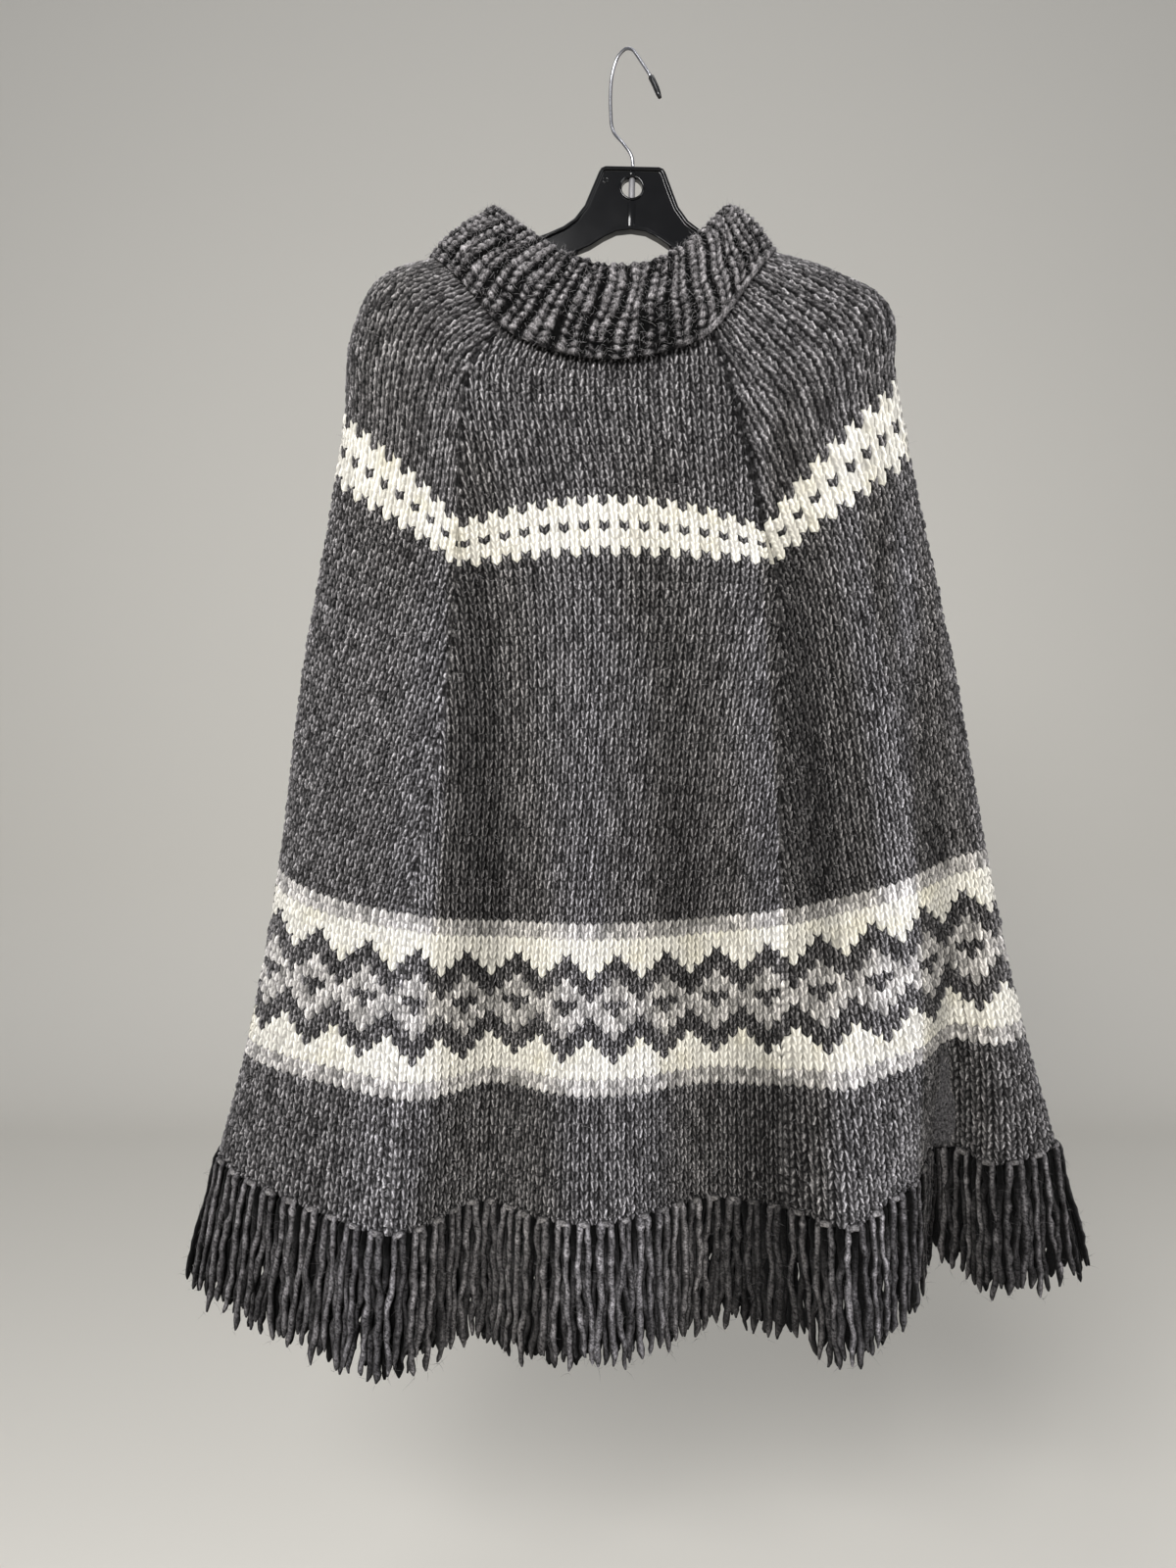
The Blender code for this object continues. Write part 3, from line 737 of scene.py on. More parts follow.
class NodeGraph:
    """The node tree of one new material."""

    def __init__(self, name: str) -> None:
        """Makes a material with a bare Principled shader.

        Args:
            name: its name.
        """
        self.material = bpy.data.materials.new(name)
        self.material.use_nodes = True
        self.tree = self.material.node_tree
        self.shader = self.tree.nodes["Principled BSDF"]

    def node(self, kind: str, settings: dict[str, Any] | None = None,
             inputs: dict[Any, Any] | None = None) -> bpy.types.Node:
        """Adds a node.

        Args:
            kind: its type.
            settings: its properties, set first.
            inputs: what goes into its sockets.

        Returns:
            The node.
        """
        made = self.tree.nodes.new(kind)
        for name, value in (settings or {}).items():
            setattr(made, name, value)
        for key, value in (inputs or {}).items():
            self.put(made.inputs[key], value)
        return made

    def put(self, socket: Any, value: Any) -> None:
        """Feeds a socket.

        Args:
            socket: the socket.
            value: a shade or a socket to link to it, or a constant to set it to.
        """
        if isinstance(value, Shade):
            self.tree.links.new(value.socket, socket)
        elif isinstance(value, bpy.types.NodeSocket):
            self.tree.links.new(value, socket)
        else:
            socket.default_value = value

    def attribute(self, name: str) -> bpy.types.Node:
        """Returns a node that reads a mesh attribute."""
        return self.node("ShaderNodeAttribute", {"attribute_name": name})

    def noise(self, vector: Any, scale: float, detail: float = 2.0, rough: float = 0.5) -> Shade:
        """Adds soft chance values.

        Args:
            vector: where they are read.
            scale: how many waves lie along one unit.
            detail: how many finer layers there are.
            rough: how strong the finer layers are.

        Returns:
            The value, between 0 and 1.
        """
        made = self.node("ShaderNodeTexNoise", {"noise_dimensions": "3D"},
                         {"Vector": vector, "Scale": scale, "Detail": detail, "Roughness": rough})
        return Shade(self, made.outputs["Fac"])

    def stretched(self, vector: Any, scale: Point) -> Any:
        """Returns the vector multiplied by a constant one."""
        made = self.node("ShaderNodeVectorMath", {"operation": "MULTIPLY"}, {0: vector, 1: scale})
        return made.outputs["Vector"]

    def mix(self, factor: Any, low: Any, high: Any, blend: str = "MIX") -> Any:
        """Mixes two colours.

        Args:
            factor: the second one's share.
            low: the first colour.
            high: the second colour.
            blend: how they are mixed.

        Returns:
            The mixed colour's socket.
        """
        made = self.node("ShaderNodeMix", {"data_type": "RGBA", "blend_type": blend, "clamp_factor": True},
                         {MIX_FACTOR: factor})
        for socket, value in ((MIX_LOW, low), (MIX_HIGH, high)):
            self.put(made.inputs[socket], (*value, 1.0) if isinstance(value, tuple) else value)
        return made.outputs[MIX_COLOUR]

    def scaled(self, colour: Any, factor: Any) -> Any:
        """Returns a colour with each part multiplied by a number."""
        made = self.node("ShaderNodeVectorMath", {"operation": "SCALE"}, {0: colour, "Scale": factor})
        return made.outputs["Vector"]

    def bump(self, height: Shade, distance: float, strength: float) -> None:
        """Roughens the shader's normal by a height."""
        made = self.node("ShaderNodeBump", None,
                         {"Height": height, "Distance": distance, "Strength": strength})
        self.put(self.shader.inputs["Normal"], made.outputs["Normal"])


def srgb(red: int, green: int, blue: int) -> Colour:
    """Returns a screen colour, 0 to 255, as linear light."""
    def linear(value: float) -> float:
        """Returns one part of it, 0 to 1, as linear light."""
        return value / 12.92 if value <= 0.04045 else ((value + 0.055) / 1.055) ** 2.4
    return linear(red / 255), linear(green / 255), linear(blue / 255)


@dataclass(frozen=True)
class ByYarn:
    """One measure of heather wool, and what cream and light marl add to it."""

    heather: float
    cream: float
    marl: float = 0.0

    def at(self, cream: Shade, marl: Shade) -> Shade:
        """Returns the measure where these are the shares of cream and of light marl."""
        return self.heather + self.cream * cream + self.marl * marl


@dataclass(frozen=True)
class WoolFinish:
    """Heather wool with two more yarns that the mesh's yarn colour picks.

    Its flecks follow the stitches through the texture places, where one unit is one
    stitch across and one course down."""

    name: str
    dark: Colour
    light: Colour
    floor: ByYarn = ByYarn(0.03, 0.27, 0.16)
    contrast: ByYarn = ByYarn(2.8, -0.8, -0.7)
    fold_power: ByYarn = ByYarn(1.0, -0.6, -0.35)
    unevenness: ByYarn = ByYarn(1.0, -0.8)
    fibre: Point = (7.0, 2.2, 1.0)
    speckle: float = 0.45
    # the first is painted shade of soft drape folds, in upright streaks; the second is the wool's own patchy
    # tone
    drape_shade: float = 0.4
    mottle: float = 0.6
    cream: Colour = srgb(255, 252, 245)
    cream_shade: Colour = srgb(250, 245, 229)
    marl: Colour = srgb(255, 252, 249)
    marl_dark: Colour = srgb(184, 180, 182)
    # painted shade colour: the warm tint of the folds' shaded hollows
    painted_shade_tint: Colour = (1.0, 0.98, 0.91)
    relief: float = 0.8

    def build(self) -> Finish:
        """Makes the material.

        Returns:
            The material.
        """
        graph = NodeGraph(self.name)
        uv = graph.node("ShaderNodeUVMap", {"uv_map": "stitch"}).outputs["UV"]
        place = graph.node("ShaderNodeTexCoord").outputs["Object"]
        yarn = graph.attribute("yarn")
        parts = graph.node("ShaderNodeSeparateColor", None, {0: yarn.outputs["Color"]})
        cream, marl, chance = (Shade(graph, parts.outputs[k]) for k in range(3))
        openness = Shade(graph, graph.attribute("openness").outputs["Fac"])
        fold = Shade(graph, graph.attribute("fold_shade").outputs["Fac"])

        fibre = graph.noise(graph.stretched(uv, self.fibre), scale=1.0, detail=3.0, rough=0.62)
        fleck = graph.noise(place, scale=520.0, rough=0.65)
        patch = graph.noise(place, scale=34.0)
        # painted shade of soft drape folds, as upright streaks
        drape_shade = graph.noise(graph.stretched(place, (26.0, 26.0, 3.5)), scale=1.0)
        mottle = graph.noise(place, scale=110.0, rough=0.6)

        fibre_tone = fibre.above(0.38, softness=0.24) * (1 - self.speckle)
        tone = (fibre_tone + fleck.above(0.40, softness=0.22) * self.speckle).clamped()
        heather = graph.mix(tone, self.dark, self.light)
        creamy = graph.mix(patch.above(0.52, softness=0.16) * 0.8, self.cream, self.cream_shade)
        marled = graph.mix(tone, self.marl_dark, self.marl)
        colour = graph.mix(cream, graph.mix(marl, heather, marled), creamy)
        # painted shade colour: the wool turns warmer where the folds' painted shade is deep
        tint = graph.mix(fold.above(0.8, softness=0.35), self.painted_shade_tint, WHITE)

        floor = self.floor.at(cream, marl)
        light = floor + (1 - floor) * openness ** self.contrast.at(cream, marl)
        own_shade = 1 + self.unevenness.at(cream, marl) * (chance - 0.5)
        dulled = fold ** self.fold_power.at(cream, marl)
        # painted drape shade, times the wool's own mottled tone
        drape_shade_and_mottle = 1 + self.drape_shade * (drape_shade - 0.5) + self.mottle * (mottle - 0.5)
        tinted = graph.mix(1.0, colour, tint, "MULTIPLY")
        graph.put(graph.shader.inputs["Base Color"], graph.scaled(tinted, light * own_shade * dulled * drape_shade_and_mottle))
        graph.put(graph.shader.inputs["Roughness"], 0.95 - 0.1 * tone)
        graph.bump(fibre * 0.6 + fleck * 0.4, self.relief * MM, strength=0.8)
        graph.shader.inputs["Specular IOR Level"].default_value = 0.06
        graph.shader.inputs["Sheen Weight"].default_value = 0.03
        graph.shader.inputs["Sheen Roughness"].default_value = 0.5
        return graph.material


@dataclass(frozen=True)
class HardFinish:
    """A plastic, rubber or metal with fine unevenness."""

    name: str
    colour: Colour
    roughness: float
    metallic: float = 0.0
    uneven: float = 0.05
    grain: float = 900.0
    relief: float = 0.02
    specular: float = 0.5
    smear: float = 1.25

    def build(self) -> Finish:
        """Makes the material.

        Returns:
            The material.
        """
        graph = NodeGraph(self.name)
        place = graph.node("ShaderNodeTexCoord").outputs["Object"]
        grain = graph.noise(place, self.grain, detail=3.0)
        smear = graph.noise(place, scale=60.0)
        graph.put(graph.shader.inputs["Base Color"],
                  graph.mix(smear, self.colour, tuple(part * self.smear for part in self.colour)))
        graph.put(graph.shader.inputs["Roughness"], self.roughness + self.uneven * (smear - 0.5))
        graph.bump(grain, self.relief * MM, strength=0.5)
        graph.shader.inputs["Metallic"].default_value = self.metallic
        graph.shader.inputs["Specular IOR Level"].default_value = self.specular
        return graph.material


@dataclass(frozen=True)
class PlainFinish:
    """An even matt paint, for the studio."""

    name: str
    colour: Colour
    roughness: float = 0.9

    def build(self) -> Finish:
        """Makes the material.

        Returns:
            The material.
        """
        graph = NodeGraph(self.name)
        graph.shader.inputs["Base Color"].default_value = (*self.colour, 1.0)
        graph.shader.inputs["Roughness"].default_value = self.roughness
        return graph.material


# ==== knitting
class Yarn(Enum):
    """The body's three yarns, with their share of cream and of light marl."""

    HEATHER = (0.0, 0.0)
    CREAM = (1.0, 0.0)
    MARL = (0.0, 1.0)


LETTERS = {"D": Yarn.HEATHER, "W": Yarn.CREAM, "L": Yarn.MARL}


@dataclass(frozen=True)
class Chart:
    """A colour pattern knitted in: its first course, its rows and its first stitch."""

    first_course: int
    rows: tuple[str, ...]
    first_stitch: int = 0

    def paint(self, grid: Array, first_course: int, start: int) -> None:
        """Colours a grid of stitches.

        Args:
            grid: yarn shares, [course][stitch][2], changed in place.
            first_course: the course of the grid's first row.
            start: the count of stitches round the body before the grid's first one.
        """
        for step, letters in enumerate(self.rows):
            row = self.first_course + step - first_course
            if not 0 <= row < len(grid):
                continue
            for stitch in range(grid.shape[1]):
                letter = letters[(start + stitch - self.first_stitch) % len(letters)]
                grid[row, stitch] = LETTERS[letter].value


YOKE_BAND = Chart(21, ("WD", "WW", "WW", "WD", "WW", "WW", "WD"))
CHEST_BAND = Chart(70, (
    "L", "L", "W", "W", "WWWDWW", "WWDDDW", "WDDDDD", "DDDLDD", "DDLLLD", "DLLLLL", "LLDDDL",
    "LLLDLL", "DLLLLL", "DDLLLD", "DDDLDD", "WDDDDD", "WWDDDW", "WWWDWW", "W", "W", "L", "L",
), first_stitch=22)


@dataclass(frozen=True)
class Gauge:
    """How many stitches cross a gore, course by course."""

    courses: tuple[float, ...] = (0, 21, 28, 50, 70)
    stitches: tuple[float, ...] = (22, 31, 32, 40, 45)

    def at(self, course: Any) -> Array:
        """Returns the stitches across a gore at these courses."""
        return np.interp(course, self.courses, self.stitches)


@dataclass(frozen=True)
class Relief:
    """Form of one stocking stitch: two slanting legs, four points across and four down.

    Heights are in millimetres, and places in stitches. Near the neck a side gore's wales
    are drawn into ribs."""

    outer_groove: float = -2.2
    inner_groove: float = -1.3
    crest: tuple[float, ...] = (-0.5, 0.6, 0.95, 0.45)
    lean: tuple[float, ...] = (0.25, 0.14, 0.25, 0.36)
    slant: float = 0.55
    jitter: float = 0.34
    sway: float = 0.04
    drawn_wale: tuple[float, ...] = (-2.9, 0.25, -1.0, 0.25)
    drawn_share: float = 0.7
    drawn_rows: Pair = (22.0, 30.0)
    dark_height: float = -2.0
    light_height: float = 0.8
    hem_dark: float = 0.25
    hem_rows: float = 0.7


@dataclass(frozen=True)
class RaglanForm:
    """Form of the open decreases beside a raglan line, in courses, stitches and millimetres."""

    rows: Pair = (24.0, 33.0)
    hole_step: float = 1.25
    hole_inset: float = 0.18
    hole_breadth: float = 0.2
    hole_height: float = 0.4
    hole_depth: float = 3.0
    groove_breadth: float = 0.22
    groove_depth: float = 1.2
    line_depth: float = 0.7
    line_sink: float = 1.0
    line_breadth: float = 0.12
    dark: float = 0.48
    dots: float = 0.4

    def shown(self, row: Any) -> Array:
        """Returns how plainly they show at these courses, 1 to 0."""
        return 1 - smooth_step(row, *self.rows)

    def cut(self, row: Array, from_edge: Array) -> Array:
        """Works out how deep the decreases cut in.

        Args:
            row: the courses.
            from_edge: how many stitches each point lies from its raglan line.

        Returns:
            The depths.
        """
        nearest = np.round(row / self.hole_step) * self.hole_step
        hole = bell(from_edge, self.hole_inset, self.hole_breadth) * bell(row, nearest, self.hole_height)
        return self.hole_depth * hole + self.groove_depth * bell(from_edge, 0, self.groove_breadth)


# how plainly each gore's left and right raglan lines show
RAGLANS = {Gore.FRONT: (0.25, 1.0), Gore.RIGHT: (0.8, 0.8), Gore.BACK: (0.8, 0.8), Gore.LEFT: (0.8, 0.25)}
STITCH_POINTS = 4
LEG_POINTS = 2
LINING_SHADE = (0.0, 0.0, 0.5, 1.0)


@dataclass
class KnittedGore:
    """One of the four body panels: knitted outside, plain inside, closed at its rims."""

    gore: Gore
    form: ClothForm
    finish: Finish
    gauge: Gauge = Gauge()
    relief: Relief = Relief()
    raglan: RaglanForm = RaglanForm()
    charts: tuple[Chart, ...] = (YOKE_BAND, CHEST_BAND)
    seeds: tuple[int, ...] = (17, 27, 37, 47)
    stitches: int = 45
    lining_columns: int = 16
    edge_inset: float = 0.0003
    band_draw: float = 1.1
    band_rows: Pair = (66.0, 92.0)
    side_climb: float = 1.7
    climb_breadth: float = 0.2
    climb_rows: Pair = (40.0, 68.0)
    climb_end_rows: Pair = (73.0, 92.0)

    def build(self) -> Piece:
        """Knits the gore.

        Returns:
            The gore, in place of its solid.
        """
        parts = MeshParts()
        index = self._add_knitting(parts)
        self._close(parts, index)
        name = self.gore.name.lower()
        made = parts.build(f"{name}_knit", self.finish)
        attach(made, BODY)
        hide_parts(f"{name}_gore")
        return made

    def declare(self, made: Piece, others: Sequence[Piece]) -> None:
        """Reads the gore's own grid of points, and does nothing more with it.

        Args:
            made: the gore's piece; not used.
            others: the pieces that are knotted into it; not used.
        """
        patch = self.form.patch(self.gore)

    def _colours(self, rng: Rng, courses: int) -> Array:
        """Works out the yarn colour of each stitch's leg.

        Args:
            rng: the source of chance.
            courses: how many courses there are.

        Returns:
            Its yarn shares, its chance shade and 1, [course][leg][4].
        """
        grid = np.zeros((courses, self.stitches, 2))
        for chart in self.charts:
            chart.paint(grid, 0, self.gore.value * self.stitches)
        legs = np.repeat(grid, 2, axis=1)
        chance = rng.uniform(0, 1, legs.shape[:2])
        return np.concatenate([legs, chance[..., None], np.ones((*chance.shape, 1))], axis=-1)

    def _climb(self, row: Array, share: Array) -> Array:
        """Works out how the chest band draws in, and climbs at the sides.

        Args:
            row: the courses as they are knitted.
            share: the fractions of the gore.

        Returns:
            How many courses higher they lie.
        """
        start, turn = self.band_rows
        drawn = self.band_draw * (smooth_step(row, start, turn) - smooth_step(row, turn, HEM_ROW))
        if self.gore in (Gore.FRONT, Gore.BACK):
            return drawn
        near_side = bell(share, 0.5, self.climb_breadth)
        held = smooth_step(row, *self.climb_rows) * (1 - smooth_step(row, *self.climb_end_rows))
        return drawn + self.side_climb * near_side * held

    def _stitches(self, i: Array, j: Array) -> tuple[Array, Array]:
        """Works out the form of every stitch, before chance moves it.

        Args:
            i: the points down the gore.
            j: the points across it.

        Returns:
            How far across its stitch each point lies, 0 to 1, and how high, [i][j].
        """
        relief = self.relief
        phase, quarter = np.meshgrid(i % STITCH_POINTS, j % STITCH_POINTS, indexing="ij")
        lean = np.array(relief.lean)[phase]
        across = np.choose(quarter, [np.zeros_like(lean), lean, np.full_like(lean, 0.5), 1 - lean])
        crest = np.array(relief.crest)[phase]
        height = np.choose(quarter, [np.full_like(crest, relief.outer_groove), crest,
                                     np.full_like(crest, relief.inner_groove), crest])
        if self.gore in (Gore.RIGHT, Gore.LEFT):
            drawn = (1 - smooth_step(i / STITCH_POINTS, *relief.drawn_rows))[:, None]
            wale = np.choose(quarter, relief.drawn_wale)
            height = height + (wale - height) * relief.drawn_share * drawn
        return across, height

    def _add_knitting(self, parts: MeshParts) -> Array:
        """Adds the stitches of the outer face.

        Points past a raglan line share the line's own point at their course.

        Args:
            parts: the mesh under way.

        Returns:
            The grid of their indices.
        """
        rng = np.random.default_rng(self.seeds[self.gore.value])
        relief = self.relief
        courses = int(HEM_ROW)
        i = np.arange(STITCH_POINTS * courses + 1)
        j = np.arange(STITCH_POINTS * self.stitches + 1)
        course, stitch = (i // STITCH_POINTS)[:, None], (j // STITCH_POINTS)[None, :]
        leg = (j // LEG_POINTS)[None, :]
        across, height = self._stitches(i, j)
        swell = rng.normal(0, relief.jitter, (courses + 1, 2 * self.stitches + 1))
        wander = rng.normal(0, relief.sway, (courses + 1, self.stitches + 1))
        height = height + np.where(j % LEG_POINTS == 1, swell[course, leg], 0)
        place = stitch + across - self.stitches / 2 + wander[course, stitch]

        edge_row = i / STITCH_POINTS
        plain_row = edge_row[:, None] + 0 * place
        count = self.gauge.at(plain_row)
        from_edge = count / 2 - np.abs(place)
        ends = np.minimum(np.minimum(i, i[::-1]) / (STITCH_POINTS - 1), 1)[:, None]
        row = plain_row + relief.slant * (1 - np.abs(2 * across - 1)) * ends * np.clip(from_edge, 0, 1)
        share = np.clip(0.5 + place / self.gauge.at(row), self.edge_inset, 1 - self.edge_inset)
        line = RAGLANS[self.gore]
        plain = np.where(place < 0, *line) * self.raglan.shown(plain_row)
        height = height - plain * self.raglan.cut(plain_row, from_edge)
        lit = (height - relief.dark_height) / (relief.light_height - relief.dark_height)
        hem = smooth_step(row, HEM_ROW - relief.hem_rows, HEM_ROW)
        openness = np.clip(lit, 0, 1) * (1 - relief.hem_dark * hem)

        read = row - self._climb(row, share)
        points = self.form.raised(self.gore, read, share, height)
        shade = self.form.shade(self.gore, read, share)
        index = parts.add_points(points, np.stack([place, row], axis=-1), openness, shade)
        for side, shown in zip((-1, 1), line):
            edge_index = self._add_edge(parts, edge_row, side, shown * self.raglan.shown(edge_row))
            index = np.where(side * place > count / 2 - self.raglan.line_breadth, edge_index[:, None], index)

        legs = self._colours(rng, courses)
        colours = legs[(i[:-1] // STITCH_POINTS)[:, None], (j[:-1] // LEG_POINTS)[None, :]]
        a, b, c, d = index[:-1, :-1], index[1:, :-1], index[1:, 1:], index[:-1, 1:]
        top, low = a == d, b == c
        for corners, which in (((a, b, c, d), ~top & ~low), ((a, b, c), top & ~low), ((a, b, d), ~top & low)):
            parts.add_faces(np.stack(corners, axis=-1)[which], colours[which])
        return index

    def _add_edge(self, parts: MeshParts, row: Array, side: int, shown: Array) -> Array:
        """Adds the points of one raglan line.

        Args:
            parts: the mesh under way.
            row: the course of each.
            side: -1 for the gore's left line and 1 for its right one.
            shown: how plainly the line shows there.

        Returns:
            Their indices.
        """
        raglan = self.raglan
        at = self.edge_inset if side < 0 else 1 - self.edge_inset
        points = self.form.raised(self.gore, row, at, -raglan.line_depth - raglan.line_sink * shown)
        uv = np.stack([side * self.gauge.at(row) / 2, row], axis=-1)
        dotted = 1 - raglan.dots + raglan.dots * np.cos(2 * math.pi * row / raglan.hole_step)
        openness = 0.5 - raglan.dark * shown * dotted
        return parts.add_points(points, uv, openness, self.form.shade(self.gore, row, at))

    def _close(self, parts: MeshParts, index: Array) -> None:
        """Adds the lining and joins it to the knitted face all round.

        Args:
            parts: the mesh under way.
            index: the knitted face's grid of indices.
        """
        rows = np.arange(int(HEM_ROW) + 1)
        shares = np.linspace(self.edge_inset, 1 - self.edge_inset, self.lining_columns + 1)
        row, share = np.meshgrid(rows, shares, indexing="ij")
        points = self.form.raised(self.gore, row, share, -self.form.thickness)
        uv = np.stack([share * self.stitches, row.astype(float)], axis=-1)
        lining = parts.add_points(points, uv, 0.5)
        parts.add_grid(lining[:, ::-1], LINING_SHADE)
        down = np.linspace(0, 1, len(rows))
        across = np.linspace(0, 1, len(shares))
        for knitted, hidden, places, turn in (
            (index[0], lining[0], across, -1), (index[-1], lining[-1], across, 1),
            (index[:, 0], lining[:, 0], down, 1), (index[:, -1], lining[:, -1], down, -1),
        ):
            line = knitted[np.concatenate([[True], knitted[1:] != knitted[:-1]])]
            rim = zip_rims(line, np.linspace(0, 1, len(line)), hidden, places)
            parts.add_faces(rim[:, ::turn], LINING_SHADE)


# ==== collar
class Loop(NamedTuple):
    """Values on the eight lines round the neck."""

    front: Any
    front_right: Any
    right: Any
    back_right: Any
    back: Any
    back_left: Any
    left: Any
    front_left: Any


@dataclass(frozen=True)
class Cord:
    """Form of the twisted cord along the cuff's lower edge, in millimetres and in rows off it."""

    x_range: Pair = (20.0, 80.0)
    zone: Pair = (-9.0, -5.0)
    calm: float = 0.3
    flat: float = 0.5
    lean: float = 0.06
    rise: float = 0.5
    link_height: float = 1.1
    unevenness: float = 0.6
    groove_row: float = -8.0
    groove_breadth: float = 1.5
    groove_depth: float = 0.9


@dataclass
class Collar:
    """The ribbed neck tube with its turned-down cuff, in one closed wall."""

    form: ClothForm
    finish: Finish
    cord: Cord = Cord()
    seed: int = 5
    ribs: int = 32
    wall: float = 5.0
    fold_gap: float = 1.2
    neck_gap: float = 0.6
    bulge: float = 4.0
    lip: float = 4.0
    tuck: float = 0.6
    cuff_courses: int = 12
    slant: float = 0.6
    last_row: int = 9
    softening: int = 40
    rim_line: Loop = Loop((1, -44, -197), (52, -33, -170), (80, 0, -130), (42, 20, -163),
                          (-3, 24, -181), (-63, 20, -163), (-107, 0, -130), (-60, -33, -177))
    cuff_row: Loop = Loop(5.7, 2.5, 1.9, 3.4, 7.0, 3.4, 2.0, 2.7)
    cuff_stand: Loop = Loop(5.0, 3.0, 1.2, 2.2, 3.0, 3.0, 2.4, 3.0)
    span_rows: tuple[int, ...] = (6, 10, 4, 4, 24, 22, 5, 5)
    rim_span: int = 3
    edge_span: int = 7
    inner_relief: float = 0.5
    rim_relief: float = 0.7
    edge_relief: float = 0.2
    rib_heights: tuple[float, ...] = (-1.0, -0.6, -0.1, 0.2, 0.16, -0.08, -0.36, -0.08, 0.16, 0.2, -0.1, -0.6)
    rib_sway: float = 0.16
    valley: float = 4.0
    valley_spread: float = 0.35
    leg: tuple[float, ...] = (-1.5, 0.45, 1.2, 0.45)
    leg_spread: float = 0.5
    leg_level: float = -0.5
    leg_rise: float = 0.6
    purl_height: float = 1.7
    purl_phase: float = 0.2
    purl_slope: float = 1.4
    purl_level: float = 0.4
    swell: float = 1.0
    chance_rows: int = 64
    chance_above: int = 24
    dark_share: float = 0.45
    under_rows: Pair = (-2.0, 4.0)
    under_dark: float = 0.7
    bare_light: float = 0.3
    bare_course: float = 20.0
    bare_chance: int = 5
    fade_rows: int = 6
    face: Array = field(init=False)

    def _edge_loop(self) -> Array:
        """Lays the cuff's lower edge off the body's outer face.

        Returns:
            Its closed loop.
        """
        loops = np.array([course_loop(row)[:, :3] for row in range(self.last_row + 1)])
        normals = unit(np.cross(chord(loops), -unit(np.gradient(loops, axis=0))))
        column = np.arange(loops.shape[1])
        count = len(STATIONS)
        stops = np.arange(-2, count + 3)
        wrapped = np.array([self.cuff_row, self.cuff_stand])[:, stops % count].T
        row, stand = np.array([hermite(stops, wrapped, at) for at in column / SAMPLES_PER_STATION]).T
        above = row.astype(int)
        part = (row - above)[:, None]
        place = loops[above, column] * (1 - part) + loops[above + 1, column] * part
        place = place + normals[above, column] * (self.wall + stand)[:, None]
        for _ in range(self.softening):
            place = place / 2 + (np.roll(place, 1, axis=0) + np.roll(place, -1, axis=0)) / 4
        return place

    def _sections(self, count: int) -> tuple[Array, Array]:
        """Works out the wall's guide loops, from the seam inside to the seam outside.

        Args:
            count: how many points each has.

        Returns:
            The loops, and which way the face is carved at each.
        """
        start = self.form.samples // 2
        outer = self.form.points[0]
        inner = outer - self.form.normals[0] * self.form.thickness
        seam_out, seam_in = (even_loop(np.roll(line, -start, axis=0), count) for line in (outer, inner))
        rim = even_loop(dense_loop(np.array(self.rim_line, float)), count)
        edge = even_loop(self._edge_loop(), count)
        rim_run, edge_run = (unit(chord(line, axis=0)) for line in (rim, edge))
        up = rim - (seam_out + edge) / 2
        up = unit(up - rim_run * np.sum(up * rim_run, axis=1, keepdims=True))
        outward = unit(np.cross(rim_run, up))
        roll = self.wall + self.fold_gap / 2
        core = rim - up * roll
        cuff_top, tube_top = core + outward * roll, core - outward * roll
        cuff_up = unit(cuff_top - edge)
        cuff_out = unit(np.cross(edge_run, cuff_up))
        rise = unit(core - (seam_out + seam_in) / 2) * self.neck_gap
        seam_out, seam_in = seam_out + rise, seam_in + rise
        middle = (cuff_top + edge) / 2 + cuff_out * self.bulge
        still = np.zeros_like(rim)
        guides = [
            (seam_in, still), ((seam_in + tube_top) / 2, outward * self.inner_relief), (tube_top, outward),
            (rim, -up * self.rim_relief), (cuff_top, -outward), (middle, -cuff_out),
            (edge + cuff_up * self.lip, -cuff_out),
            (edge - cuff_out * self.wall / 2, -cuff_up * self.edge_relief),
            (edge + cuff_up * self.lip - cuff_out * (self.wall + self.tuck), still),
            (middle - cuff_out * self.wall, still), (core + outward * self.fold_gap / 2, still),
            (core - outward * self.fold_gap / 2, still), (seam_out, still),
        ]
        return np.array([place for place, _ in guides]), np.array([carve for _, carve in guides])

    def _face(self, guides: Array) -> Array:
        """Reads a smooth curve through the guide loops of the wall's face.

        Args:
            guides: the loops.

        Returns:
            The rows between them, as span_rows counts them.
        """
        slopes = np.zeros_like(guides)
        slopes[1:-1] = (guides[2:] - guides[:-2]) / 2
        slopes[0], slopes[-1] = guides[1] - guides[0], guides[-1] - guides[-2]
        spans = np.linalg.norm(np.diff(guides, axis=0), axis=-1)
        rows = []
        for k, steps in enumerate(self.span_rows):
            near, far = (
                np.minimum(1.0, spans[k] / np.maximum(np.linalg.norm(slope, axis=-1), 1e-9))[:, None]
                for slope in (slopes[k], slopes[k + 1])
            )
            leave, arrive = slopes[k] * near, slopes[k + 1] * far
            rows.extend(cubic(step / steps, guides[k], leave, guides[k + 1], arrive) for step in range(steps))
        rows.append(guides[-1])
        return np.array(rows)

    def _chance_rows(self, course: Array) -> Array:
        """Returns which row of chance values each course reads."""
        return np.clip(np.floor(course).astype(int) + self.chance_above, 0, self.chance_rows - 1)

